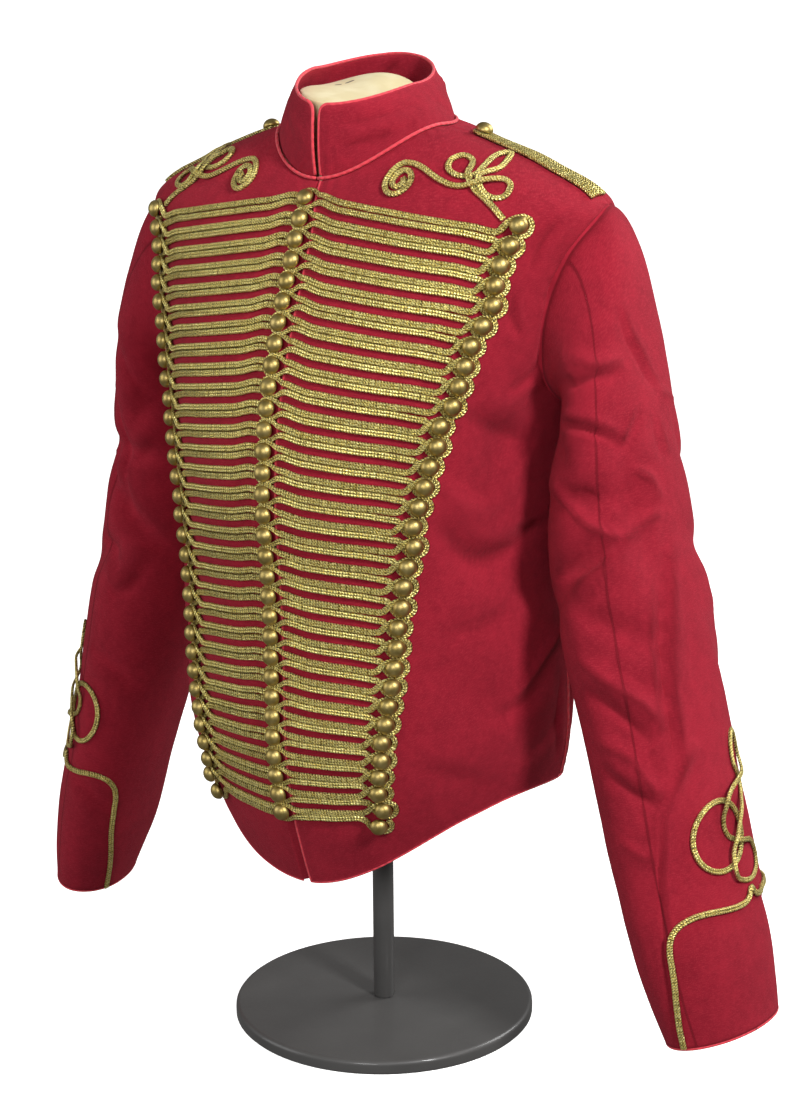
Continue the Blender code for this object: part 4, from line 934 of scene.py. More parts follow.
for side, word in ((1, "left"), (-1, "right")):
    surface = body_point if side > 0 else right_front_point
    at = worn(surface, CREASES["front_" + word] + CREASES["back_" + word], level_at, side)
    turn = np.linspace(FRONT_EDGE if side > 0 else -UNDERLAP_START, BACK_SEAM, HEM_POINTS)
    level, way = np.full_like(turn, HEM), np.repeat([HEM_WAY], HEM_POINTS, axis=0)
    if side > 0:
        way[0] = CORNER_WAY
        turn = np.concatenate((np.full(EDGE_POINTS, FRONT_EDGE), turn))
        level = np.concatenate((np.linspace(*EDGE_ENDS, EDGE_POINTS), level))
        way = np.concatenate((np.repeat([EDGE_WAY], EDGE_POINTS, axis=0), way))
    tubes = [pipe_tube(piped(at, turn, level, way))]
    heights = np.linspace(VENT_FROM, VENT_TOP, VENT_POINTS)
    for off in (-VENT_OFF, VENT_OFF):
        vent_turn = np.full(VENT_POINTS, ARMHOLE_TURN + off / BODY_ROWS[WAIST][SIDE_X])
        tubes.append(pipe_tube(at(vent_turn, level_at(vent_turn, heights), 0.0), radius=VENT_PIPE / 2))
    joined("piping_coral_" + word, tubes, coral, "piping_" + word)
    around = np.linspace(0, 2 * pi, CUFF_POINTS + 1)[:-1]
    cuff_way = np.repeat([(0.0, 1.0)], CUFF_POINTS, axis=0)
    cuff = piped(sleeve_at[word], around, np.full_like(around, CUFF), cuff_way)
    joined("cuff_piping_coral_" + word, [pipe_tube(cuff, True)], coral, "cuff_piping_" + word)

rise = np.linspace(COLLAR_EDGE_FROM, 1, COLLAR_EDGE_POINTS)[:-1]
corner = np.linspace(collar_ends(1.0), CORNER_END, CORNER_POINTS)
over_top = np.linspace(CORNER_END, 2 * pi - CORNER_END, COLLAR_TOP_POINTS)[1:-1]
top_turn = np.concatenate((corner, over_top, 2 * pi - corner[::-1]))
top_share = collar_height(top_turn, np.ones_like(top_turn))
rise = rise * top_share[0]
turn = np.concatenate((collar_ends(rise), top_turn, 2 * pi - collar_ends(rise[::-1])))
share = np.concatenate((rise, top_share, rise[::-1]))
route, out_from = collar_at(turn, share, -CLOTH / 2)
away = unit(np.cross(np.gradient(route, axis=0), out_from))
joined("collar_piping_coral", [pipe_tube((route - away * PIPE_REACH, out_from))], coral, "collar_piping")

neck_end = collar_ends(0.0) / 4
turn = np.linspace(neck_end, 2 * pi - neck_end, NECK_POINTS)
level, side_way = np.full_like(turn, NECK), outward(turn)
seam_normal = normal_of(body_point, turn, level)
neck_line = body_point(turn, level) + side_way * PIPE / 2
neck_line[:, 2] += PIPE / 2 * (1 - np.sum(seam_normal * side_way, axis=1)) / seam_normal[:, 2]
joined("neck_piping_coral", [pipe_tube((neck_line, side_way))], coral, "neck_piping")

# --- Frogging: one gold gimp cord a side, of two ridges over a cotton core, couched on in 31 double bars. It
# turns round each outer button, and on the left front it forms the eyes that the centre buttons go through.
ROW_PITCH, BARS, FIRST_BUTTON_Z = 0.0162, 31, 0.700  # from one button to the next, bars, and the top button
BUTTON_R, BUTTON_TALL = 0.0070, 0.0066
CORD_HALF, RIDGE_R = 0.00114, 0.00150  # from the cord's middle to a ridge's middle, and a ridge's radius
CORD_PLACE = 0.173  # of a row pitch, from a bar's middle to each of its two cords
TRIM_LIFT, CROSSING = 0.0007, 0.0030  # from the cloth to trim, and how far a cord rises to pass over another
GIMP_LIFT = TRIM_LIFT - 0.0004
BAR_STEP, GIMP_STEP = 0.014, 0.0021  # metres between the points of a bar's route, and along the finished cord
CURVE_POINTS = 13  # from one point of a route to the next, before it is evenly divided
RIDGE_TALL, RIDGE_UNEVEN = 1.1, 0.07  # a ridge's height over its width, and how much its size wavers
RIDGE_WAVES = (2.4, 0.37)  # radians of its two waves from one point to the next
TURN_CLEAR = 0.0155  # from an outer button to where the lines of its bars start
FIRST_TURN_FROM, LAST_TURN_TO = 4, 9  # rows of OUTER_TURN that the cord's two ends use
SIDEMOST = 0.995  # the share of the half width that the front reaches
# Across and height of places down the outer column, for a smooth curve through them
OUTER_COLUMN = (
    (0.1944, 0.7931), (0.1663, 0.6847), (0.1353, 0.5724), (0.1070, 0.4560), (0.0919, 0.3343),
    (0.0769, 0.2229), (0.0629, 0.1142),
)
# How far each of its buttons was set to the side by hand, in mm
OUTER_SET = (
    0.2, -0.9, -2.0, -0.4, 3.2, 1.8, -0.5, 0, 0.3, 0.3, -2.4, -0.3, -0.7, -0.1, -0.1, -0.7,
    2.3, 0.5, -0.4, 0.3, -0.6, 0.2, 0.4, 0.5, 0.1, 0, -0.9, 0.1, -0.7, -0.8, 2.5, -0.9,
)
# Round an outer button from the bar above to the bar below: outward and up in mm, cords crossed over, width
OUTER_TURN = (
    (-15.5, 5.0, 0, 1), (-11.5, 4.2, 0, 1), (-8.6, 1.6, 0, 0.95), (-7.4, -2.4, 0, 0.85), (-4.2, -6.3, 0, 0.8),
    (1.2, -8.0, 0, 0.85), (6.6, -6.4, 0, 0.9), (9.5, -1.4, 0, 0.9), (8.0, 3.9, 0.1, 0.9), (3.2, 5.8, 0.4, 0.85),
    (-2.6, 4.9, 0.7, 0.85), (-7.6, 2.6, 0.8, 0.9), (-11.4, -1.2, 0.3, 1), (-15.2, -4.2, 0, 1),
)
# Round a centre button from a bar's upper cord to its lower one
EYE = (
    (15.0, 3.0, 0, 1), (11.2, 3.6, 0, 0.9), (8.4, 5.2, 0.1, 0.75), (4.8, 7.0, 0.3, 0.7), (0, 7.6, 0.3, 0.7),
    (-5.2, 5.4, 0.2, 0.7), (-7.6, 0, 0, 0.7), (-5.2, -5.4, 0, 0.7), (0, -7.6, 0, 0.7), (4.8, -7.0, 0, 0.7),
    (8.4, -5.2, 0, 0.75), (11.2, -3.6, 0, 0.9), (15.0, -3.0, 0, 1),
)
# Where the right front's cord turns back beside the button
TUCK = (
    (15.0, 2.9, 0, 1), (9.0, 2.8, 0, 1), (5.2, 2.4, 0, 1), (3.4, 0, 0, 1), (5.2, -2.4, 0, 1), (9.0, -2.8, 0, 1),
    (15.0, -2.9, 0, 1),
)
# Thread colours: GOLD in painted light, the deep one for painted shade and dark strands, the pale one for painted
# highlights
GOLD, GOLD_DARK_THREAD_AND_SHADE, GOLD_HIGHLIGHT = (0.88, 0.62, 0.080, 1), (0.085, 0.058, 0.006, 1), (1.0, 0.91, 0.38, 1)
GOLD_TARNISH = (0.46, 0.27, 0.07, 1)
THREAD_STRETCH, GOLD_TWIST = (330.0, 15.0, 1.0), 0.0023  # and metres of cord for one turn of its thread
GLINT, TARNISH, STREAK_DEEP, TWIST_DEEP = 0.0010, 0.018, 0.00085, 0.00030  # two sizes and two depths
# For thread in painted light and for its painted highlights: shares of glint, winding and crest, where it sets in,
# and its gain
GOLD_LIT, STREAK_SHARE = ((1.6, 0.35, 0.9, 3.34, 2.9), (2.8, 0.30, 0.5, 3.96, 4.2)), 4.5


def smooth_route(points, step, closed=False):
    """A smooth curve through points, evenly divided; the first two columns are distances."""
    points = np.array(points, dtype=float)
    if closed:
        knots = np.concatenate((points[-1:], points, points[:2]))
    else:
        knots = np.concatenate((2 * points[:1] - points[1:2], points, 2 * points[-1:] - points[-2:-1]))
    gaps = np.linalg.norm(np.diff(knots[:, :2], axis=0), axis=1)
    place = np.concatenate(([0.0], np.cumsum(gaps**0.5)))
    curve = []
    for k in range(1, len(knots) - 2):
        t = np.linspace(place[k], place[k + 1], CURVE_POINTS)[:-1, None]

        def between(a, b, low, high):
            return a + (b - a) * (t - place[low]) / (place[high] - place[low])

        first, second, third = (between(knots[k + d], knots[k + d + 1], k + d, k + d + 1) for d in (-1, 0, 1))
        curve.append(between(
            between(first, second, k - 1, k + 1), between(second, third, k, k + 2), k, k + 1
        ))
    curve.append(points[:1] if closed else points[-1:])
    curve = np.concatenate(curve)
    length = lengths(curve[:, :2], 0)
    even = np.linspace(0, length[-1], int(round(length[-1] / step)) + 1)
    if closed:
        even = even[:-1]
    return np.stack([np.interp(even, length, column) for column in curve.T], -1)


def front_spot(across, height):
    """Turns and levels of the front's points at these distances across and heights."""
    def turn_at(level):
        return np.arcsin(np.clip(across / row_at(BODY_ROWS, level)[..., SIDE_X], -SIDEMOST, SIDEMOST))

    level = halfway(lambda place: body_point(turn_at(place), place)[..., 2] < height, HEM, NECK, across + height)
    return turn_at(level), level


front_at = {
    word: worn(body_point, CREASES["front_" + word], level_at, side) for word, side in (("left", 1), ("right", -1))
}


def on_front(word, across, height, lift):
    return front_at[word](*front_spot(np.asarray(across), np.asarray(height)), lift)


def centre_heights():
    """Heights down the centre front, from the first button, a row pitch apart along the cloth."""
    level = level_at(np.array(0.0), FIRST_BUTTON_Z)
    spot = body_point(0.0, level)
    heights = [float(spot[2])]
    while len(heights) <= BARS:
        level = halfway(
            lambda lower: np.linalg.norm(body_point(0.0, lower) - spot, axis=-1) > ROW_PITCH, HEM, level, level
        )
        spot = body_point(0.0, level)
        heights.append(float(spot[2]))
    return np.array(heights)


CENTRE_HEIGHTS = centre_heights()


def outer_spot(place):
    """Across and height of places down the outer column: 1 is the first button, BARS + 1 the last."""
    inside = np.clip(place, 1.0, BARS + 1.0)
    across, height = row_at(OUTER_COLUMN, 1 + (inside - 1) / BARS * (len(OUTER_COLUMN) - 3)).T
    return across + np.interp(inside, range(1, BARS + 2), OUTER_SET) / 1000, height - (place - inside) * ROW_PITCH


def bar_height(place, across):
    """Height of a bar's line at distances across; place counts the bars down."""
    reach, outer_height = outer_spot(np.asarray(place + 0.5))
    counted = min(max(place, 1.0), float(BARS))
    inner_height = np.interp(counted, range(1, BARS + 2), CENTRE_HEIGHTS) - (place - counted) * ROW_PITCH
    return inner_height + (outer_height - inner_height) * across / reach


def stretch(across, height):
    """How much longer the cloth is than its view from the front, across and up."""
    gap = 0.001
    spots = [body_point(*front_spot(np.array(across + a), np.array(height + h)))
             for a, h in ((-gap, 0), (gap, 0), (0, -gap), (0, gap))]
    return np.linalg.norm(spots[1] - spots[0]) / (2 * gap), np.linalg.norm(spots[3] - spots[2]) / (2 * gap)


def round_button(shape, across, height):
    """A cord's points round a button, from millimetres on the cloth to across and height."""
    wide, tall = stretch(across, height)
    return [(across + dx / 1000 / wide, height + dy / 1000 / tall, over, size) for dx, dy, over, size in shape]


def bar_line(place, first, last):
    """A cord's points along a bar, between distances across that are clear of the buttons."""
    count = max(int(abs(last - first) / BAR_STEP), 2)
    return [(x, float(bar_height(place, x)), 0, 1) for x in np.linspace(first, last, count + 1)[1:-1]]


def frogging_route(word):
    """The whole cord of one front: out along each lower line, round the outer button and back."""
    centre_turn = EYE if word == "left" else TUCK
    inner, route = centre_turn[0][0] / 1000, []
    for m in range(1, BARS + 2):
        across, height = (float(x) for x in outer_spot(np.asarray(float(m))))
        turned = round_button(OUTER_TURN, across, height)
        route += turned[FIRST_TURN_FROM:] if m == 1 else turned if m <= BARS else turned[:LAST_TURN_TO]
        if m <= BARS:
            clear = TURN_CLEAR / stretch(across, height)[0]
            following = float(outer_spot(np.asarray(m + 1.0))[0])
            route += bar_line(m - CORD_PLACE, across - clear, inner)
            route += round_button(centre_turn, 0.0, float(CENTRE_HEIGHTS[m - 1]))
            route += bar_line(m + CORD_PLACE, inner, following - clear)
    return route


def gold_paint():
    """Metal thread wound round the cord: painted highlights as bright flecks on its crest, painted shade between
    strands and down the ridges' sides, some dark strands, tarnished in places.
    """
    cut, place = cut_place(), object_place()
    along, turn, _ = cut.parts()
    streak = grain(stretched(cut, THREAD_STRETCH), 1.0, 3.0, 0.75)
    wrap = (along * (2 * pi / GOLD_TWIST) + turn * (4 * pi) + streak * 5.0).maths("SINE")
    glint = grain(place, GLINT, 2.0, 0.8)
    dull = grain(place, TARNISH, 3.0)
    # Painted light on the top of each ridge and painted shade down its sides
    crest = 1.0 - (turn - 0.5).maths("ABSOLUTE") * 2.0
    lit, pale = (
        (streak * STREAK_SHARE + glint * fleck + wrap * wound + crest * high).past(start, gain)
        for fleck, wound, high, start, gain in GOLD_LIT
    )
    # Painted shade where lit is low, painted highlights where pale is high
    colour = mixed(pale, mixed(lit, GOLD_DARK_THREAD_AND_SHADE, GOLD), GOLD_HIGHLIGHT)
    colour = mixed(dull.past(0.50, 2.4) * 0.35, colour, GOLD_TARNISH)
    fine = raised(streak, STREAK_DEEP, raised(wrap, TWIST_DEEP))
    return {"Base Color": colour, "Roughness": 0.22 + glint * 0.20, "Normal": fine}


gold = material("gold_gimp", {"Metallic": 0.74, "Specular IOR Level": 0.7}, gold_paint)


def gimp(points, normals, width, sides=6, closed=False):
    """The two ridges of a cord whose middle follows points on the cloth."""
    lifted = points + normals * (RIDGE_R * width)[:, None]
    count = np.arange(len(points))
    quick, slow = (np.sin(count * wave) for wave in RIDGE_WAVES)
    radius = RIDGE_R * width * (1 + RIDGE_UNEVEN * quick * slow)
    return [
        ringed(lifted, normals, radius, radius * RIDGE_TALL, sides, closed, off * width)
        for off in (-CORD_HALF, CORD_HALF)
    ]


for word in ("left", "right"):
    across, height, over, width = smooth_route(frogging_route(word), GIMP_STEP).T
    points, normals = on_front(word, across, height, GIMP_LIFT + over * CROSSING)
    joined("frogging_gimp_" + word, gimp(points, normals, width), gold, "frogging_" + word)

# --- Buttons: pressed brass domes with a turned back and a shank, satin from handling; 31 down the right front's
# edge, 32 down the outer end of each front's bars, and one on each shoulder cord.
BUTTON_SIDES, DOME_STEPS, DOME_LAST = 28, 9, 0.6  # the last is the share of a step that is left to the top
# Shares of the button's radius and of its height
SHANK_R, SHANK_DEEP, BACK_R, ROLL_R, ROLL_UP, RIM_UP = 0.30, 0.30, 0.84, 0.97, 0.04, 0.10
DOME_EDGE = radians(50)
SET_TILT, SET_SEED = 0.035, 31  # how far a button leans, as the spread of its direction
OUTER_BUTTON_LIFT, CENTRE_BUTTON_LIFT, SHOULDER_BUTTON_LIFT = 0.0046, 0.0026, 0.0042
BRASS, BRASS_PALE = (0.40, 0.30, 0.095, 1), (0.56, 0.44, 0.17, 1)
BRASS_CLOUD, RUB, RUB_DEEP = 0.0055, 0.0016, 0.00003


def dome_rings():
    """Radius and height of a button's rings, as shares of its own, from the shank's foot to near its top."""
    rings = [(SHANK_R, -SHANK_DEEP), (SHANK_R, 0.0), (BACK_R, 0.0), (ROLL_R, ROLL_UP), (1.0, RIM_UP)]
    for k in range(1, DOME_STEPS + 1):
        angle = pi / 2 * k / (DOME_STEPS + DOME_LAST)
        rings.append((cos(angle), RIM_UP + (1 - RIM_UP) * sin(angle)))
    return rings


def brass_paint():
    place = object_place()
    cloud = grain(place, BRASS_CLOUD, 3.0)
    rub = grain(place, RUB, 2.0)
    return {
        "Base Color": mixed(cloud.past(0.38, 3.0), BRASS, BRASS_PALE),
        "Roughness": 0.36 + cloud * 0.12 + rub * 0.06,
        "Normal": raised(rub, RUB_DEEP),
    }


brass = material("satin_brass", {"Metallic": 1.0}, brass_paint)
set_by_hand = np.random.default_rng(SET_SEED)


def button_column(name, node, points, normals):
    """Buttons at points of one line, each set by hand at a slightly different tilt."""
    rings = dome_rings()
    angle = 2 * pi * np.arange(BUTTON_SIDES) / BUTTON_SIDES
    vertices, faces = [], []
    for point, normal in zip(points, normals):
        normal = unit(normal + set_by_hand.normal(0.0, SET_TILT, 3))
        aside = unit(np.cross(normal, (0.0, 0.0, 1.0)))
        above = np.cross(aside, normal)
        base = len(vertices)
        for reach, lift in rings:
            for a in angle:
                off = aside * cos(a) + above * sin(a)
                vertices.append(point + off * BUTTON_R * reach + normal * BUTTON_TALL * lift)
        vertices.append(point + normal * BUTTON_TALL)
        for r in range(len(rings) - 1):
            for k in range(BUTTON_SIDES):
                m, low = (k + 1) % BUTTON_SIDES, base + r * BUTTON_SIDES
                faces.append((low + m, low + k, low + BUTTON_SIDES + k, low + BUTTON_SIDES + m))
        last = base + (len(rings) - 1) * BUTTON_SIDES
        faces += [(last + (k + 1) % BUTTON_SIDES, last + k, len(vertices) - 1) for k in range(BUTTON_SIDES)]
        faces.append(tuple(base + k for k in range(BUTTON_SIDES)))
    piece = add_mesh(name, vertices, faces, brass)
    piece.data.set_sharp_from_angle(angle=DOME_EDGE)
    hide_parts(node)


outer_line = outer_spot(np.arange(1.0, BARS + 2))
for word in ("left", "right"):
    button_column("buttons_brass_" + word, "buttons_" + word, *on_front(word, *outer_line, OUTER_BUTTON_LIFT))
button_column(
    "buttons_brass_centre", "buttons_centre",
    *on_front("left", np.zeros(BARS), CENTRE_HEIGHTS[:BARS], CENTRE_BUTTON_LIFT),
)

# --- Breast knots: the same gimp on each breast, a spiral, a stem and three open loops that cross over one
# another, couched down by hand; the stem's end runs under the first outer button.
# Across and height in mm of places along the stem and the loops, and cords crossed over
BREAST_KNOT = (
    (157, 689, 0), (147.5, 697.5, 0), (138.4, 703.9, 0), (130.3, 708.9, 0), (124.5, 713.4, 0.5),
    (120.5, 718, 1), (119.4, 723, 0.6), (117, 728, 0), (111.5, 731.4, 0), (105.5, 731.8, 0), (102, 728.5, 0),
    (104, 723, 0), (110.5, 719, 0), (118.5, 717.6, 0), (125, 719.2, 0), (126.4, 725.5, 0), (127.5, 732, 0),
    (132, 733.3, 0), (136.6, 729, 0), (137, 723.5, 0), (131.8, 720.6, 0.3), (128.4, 716.5, 1),
    (131.5, 711.5, 0.8), (138, 706.4, 0.2), (146.6, 703.3, 0), (152.8, 705, 0), (152.4, 710.5, 0),
    (146, 714.8, 0.2), (138.5, 714.2, 0.8), (130.5, 712, 1.4), (122.5, 711.4, 0.4), (114, 712, 0),
    (105, 714.4, 0), (96, 718, 0), (86.5, 722.6, 0), (77.5, 725.8, 0), (70, 726.4, 0),
)
SPIRAL_X, SPIRAL_Z, SPIRAL_R, SPIRAL_EYE = 72.5, 714.5, 11.8, 0.20  # in mm, and its inner end as a share
SPIRAL_START, SPIRAL_TURNS, SPIRAL_STEPS = pi / 2 + 0.28, 1.85, 30
KNOT_CORD, KNOT_STEP, KNOT_SIDES = 0.92, 0.0016, 8
knot_route = [(x / 1000, z / 1000, over) for x, z, over in BREAST_KNOT]
for k in range(1, SPIRAL_STEPS + 1):
    angle = SPIRAL_START + 2 * pi * SPIRAL_TURNS * k / SPIRAL_STEPS
    radius = SPIRAL_R * (1 - (1 - SPIRAL_EYE) * k / SPIRAL_STEPS)
    knot_route.append(((SPIRAL_X + radius * cos(angle)) / 1000, (SPIRAL_Z + radius * sin(angle)) / 1000, 0))
for word in ("left", "right"):
    across, height, over = smooth_route(knot_route, KNOT_STEP).T
    points, normals = on_front(word, across, height, GIMP_LIFT + over * CROSSING)
    tubes = gimp(points, normals, np.full(len(points), KNOT_CORD), KNOT_SIDES)
    joined("breast_knot_gimp_" + word, tubes, gold, "breast_knot_" + word)

# --- Shoulder cords: three lengths of gimp side by side along each shoulder, folded back round a button at the
# collar end and cut square at the armhole.
SHOULDER_LEVEL = 9.0  # the row of the shoulder point
# At its collar end and at its outer end: x and y of its middle, and how far its strands are spread
SHOULDER_CORD, SHOULDER_CORD_Y, SHOULDER_SPREAD = (0.092, 0.200), (-0.001, -0.004), (1.0, 1.25)
SHOULDER_LINES = (0.0014, 0.0041, 0.0068)  # from the cord's middle to each strand at the collar end
STRAND_POINTS, BEND_POINTS, STRAND_WIDTH, STRAND_SIDES = 52, 13, 0.97, 8
SEARCHES = 8


def shoulder_spot(across, deep):
    """Turns and levels on the shoulder at these distances across and this y."""
    def reached(turn=pi / 2):
        """The level at which the body is as wide as that at a turn."""
        def wider(place):
            return row_at(BODY_ROWS, place)[..., SIDE_X] * np.sin(turn) > across

        return halfway(wider, SHOULDER_LEVEL, NECK, across)

    level = reached()
    for _ in range(SEARCHES):
        _, front_y, _, _, side_y, _, back_y, _ = row_at(BODY_ROWS, level).T
        share = (deep - side_y) / (np.where(deep < side_y, front_y, back_y) - side_y)
        turn = pi / 2 + np.arcsin(share) * np.where(deep > side_y, 1, -1)
        level = reached(turn)
    return turn, level


for side, word in ((1, "left"), (-1, "right")):
    on_shoulder = worn(body_point, (), None, side)
    middle = SHOULDER_CORD[0] + BUTTON_R
    tubes = []
    for line in SHOULDER_LINES:
        straight = np.linspace(SHOULDER_CORD[1], middle, STRAND_POINTS)[:-1]
        bend = np.linspace(0, pi, BEND_POINTS)
        across = np.concatenate((straight, middle - line * np.sin(bend), straight[::-1]))
        off = np.concatenate((straight * 0 - line, -line * np.cos(bend), straight * 0 + line))
        middle_y, spread = (np.interp(across, SHOULDER_CORD, ends) for ends in (SHOULDER_CORD_Y, SHOULDER_SPREAD))
        points, normals = on_shoulder(*shoulder_spot(across, middle_y + off * spread), TRIM_LIFT + RIDGE_R)
        radius = RIDGE_R * STRAND_WIDTH * spread
        tubes.append(ringed(points, normals, radius, radius, STRAND_SIDES))
    joined("shoulder_cord_gimp_" + word, tubes, gold, "shoulder_cord_" + word)
    button_at = on_shoulder(*shoulder_spot(np.array([middle]), SHOULDER_CORD_Y[0]), SHOULDER_BUTTON_LIFT)
    button_column("shoulder_button_brass_" + word, "shoulder_button_" + word, *button_at)

# --- Cuff cords: a pointed line of gimp round each cuff, and above its point a ring with a chain of two strands
# woven through it. The cuffs have turned on the arms by different amounts.
# Places in degrees round the sleeve and mm above its end, and cords crossed over
CUFF_BRAID = (
    (93, 2, 0), (90, 20, 0), (85, 38, 0), (81.5, 54, 0), (80, 70, 0), (79, 82, 0), (75.5, 92, 0), (68, 99, 0),
    (57, 102.5, 0), (45, 102.5, 0), (31, 100, 0), (19, 98, 0), (10, 98, 0), (4.5, 100.5, 0), (0, 106.5, 0),
)
CUFF_CHAIN = (
    (-1, 113, 0), (8, 115.5, 0), (14, 119.5, 0.6), (16.5, 124.5, 1.15), (17, 129, 1.25), (16.5, 134, 1.15),
    (15, 141, 1.2), (11, 149, 1.6), (6, 155.5, 1.2), (1.5, 162.5, 1.2), (-3, 169.5, 1.1), (-9, 175, 0.3),
    (-13, 181, 0), (-13.5, 187.5, 0), (-11, 194, 0), (-7, 202, 0), (-6, 211, 0), (-7, 220, 0), (-12, 227, 0),
    (-17, 219.5, 0), (-19, 210, 0), (-17, 200.5, 0.6), (-11, 194, 1.3), (-3, 190, 1.1), (3, 188, 1.1),
    (8, 185, 1.15), (12, 181, 1.25), (15, 175.5, 1.15), (17, 168, 0.4), (17, 161, 0), (15.5, 154.5, 0),
    (11, 149, 0), (5.5, 146, 1), (1, 144.5, 1.25), (-4, 143, 1.15), (-10, 141, 0.3), (-15.5, 137, 0),
    (-18.5, 130, 0), (-16.5, 121, 0), (-9, 115, 0),
)
CUFF_RING, CUFF_RING_R, CUFF_RING_STEPS = (22, 155), 26.5, 24  # its middle, its radius in mm
# For each cuff, degrees that it has turned forward and mm that its cords above the seam line sit higher
CUFF_TURNED = (("left", -18, 0), ("right", 47, 25))
RAISED_FROM = 80  # mm above the cuff's end from which they do so fully
SLEEVE_R = 66  # mm, of the sleeve near the cuff
CUFF_STEP, CUFF_SIDES = 1.6, 8
CUFF_WIDTHS = {"braid": 0.94, "chain": 0.78, "ring": 0.88}  # shares of the frogging's cord


def sleeve_along(height):
    """Places along the sleeve at these heights above the cuff's end."""
    mids = np.array([((r[0] + r[2]) / 2, r[4], (r[1] + r[3]) / 2) for r in SLEEVE_ROWS])[::-1]
    return np.interp(height, lengths(mids, 0), CUFF - np.arange(len(mids)))


def cuff_cord(kind, word, turned, higher, places):
    """A gimp cord on a cuff from places in degrees, millimetres and cords crossed over."""
    degree, closed = radians(SLEEVE_R), kind != "braid"  # the first is in millimetres round the cuff
    flat = [(around * degree, height, over) for around, height, over in places]
    around, height, over = smooth_route(flat, CUFF_STEP, closed).T
    height = height + higher * np.minimum(height / RAISED_FROM, 1.0)
    points, normals = sleeve_at[word](
        np.radians(around / degree + turned), sleeve_along(height / 1000), GIMP_LIFT + over * CROSSING
    )
    tubes = gimp(points, normals, np.full(len(points), CUFF_WIDTHS[kind]), CUFF_SIDES, closed)
    joined(f"cuff_{kind}_gimp_{word}", tubes, gold, f"cuff_{kind}_{word}")


braid = list(CUFF_BRAID) + [(-around, height, over) for around, height, over in CUFF_BRAID[-2::-1]]
ring = []
for k in range(CUFF_RING_STEPS):
    angle = 2 * pi * k / CUFF_RING_STEPS
    around = CUFF_RING[0] + degrees(CUFF_RING_R / SLEEVE_R * cos(angle))
    ring.append((around, CUFF_RING[1] + CUFF_RING_R * sin(angle), 0))
for word, turned, higher in CUFF_TURNED:
    for kind, places in (("braid", braid), ("chain", CUFF_CHAIN), ("ring", ring)):
        cuff_cord(kind, word, turned, higher, places)

# --- The dress form: a limbless torso of padded papier mache under cream cotton, with a flat neck cap whose sewn
# slot is painted shade on its cover, on a painted steel pole and a turned base.
FORM_FOOT_Z, FORM_FOOT_EASE = 0.262, 0.012
FORM_FOOT = ((0.90, 0.0), (0.965, 0.002), (1.0, 0.008))  # rings of its rounded foot: share and height above it
# Level and ease inside the cloth of places up the torso
FORM_ROWS = (
    (3.2, 0.0120), (4.2, 0.0110), (5.2, 0.0100), (6.4, 0.0090), (7.4, 0.0065), (8.4, 0.0042),
    (9.2, 0.0030), (9.8, 0.0008), (10.5, 0.0008), (11.2, 0.0012), (11.7, 0.0050),
)
# The neck's sections, with columns as in BODY_ROWS, and the rings of its cap: share and height above the last
NECK_SECTIONS = (
    (0.735, -0.0640, 0.758, 0.053, -0.014, 0.768, 0.040, 2.2),
    (0.7670, -0.0700, 0.7715, 0.0495, -0.014, 0.7872, 0.0262, 2.2),
    (0.7720, -0.0687, 0.7763, 0.0481, -0.014, 0.7912, 0.0244, 2.2),
)
NECK_CAP = ((0.96, 0.0008), (0.80, 0.0014), (0.4, 0.0018))
FORM_STEPS, TORSO_RINGS, NECK_RINGS = 72, 45, 12
FORM_FRONT_ROOM, FORM_FRONT_NARROW, FORM_SCENE_EASE = 0.0052, 6, 0.0016  # more room behind the centre front
POLE_R, POLE_SIDES, BASE_R, BASE_SIDES, BASE_TALL, BASE_EDGE = 0.0090, 40, 0.128, 96, 0.012, 0.004
TURNED_EDGE = radians(40)
# Painted shade in the slot of the neck cap, in two marks: middle, half length, direction
CAP_SLOT_SHADES = ((-0.0295, -0.0078, 0.003, 0.51), (-0.0236, -0.0002, 0.0044, 1.147))
SLOT_SHADE_WIDE, CAP_Z, CAP_BLEND = 0.0017, 0.765, 0.002  # the slot's painted shade shows above this height, from this far on
SLOT_SHADE_FULL, SLOT_SHADE_FRAY, SLOT_SHADE_SOFT = 1.6, 0.8, 1.2  # how dark its middle is, how uneven and soft its edge
LINEN, LINEN_PALE, SLOT_SHADE_COLOUR = (0.80, 0.68, 0.38, 1), (0.91, 0.81, 0.52, 1), (0.10, 0.075, 0.045, 1)
WARP, WEFT, STAIN, LINEN_DEEP = (900.0, 900.0, 120.0), (120.0, 120.0, 1100.0), 0.022, 0.00012
STEEL, STEEL_PALE = (0.055, 0.053, 0.052, 1), (0.085, 0.083, 0.080, 1)
SPECK, SPECK_DEEP, STEEL_CLOUD = 0.0018, 0.00004, 0.05


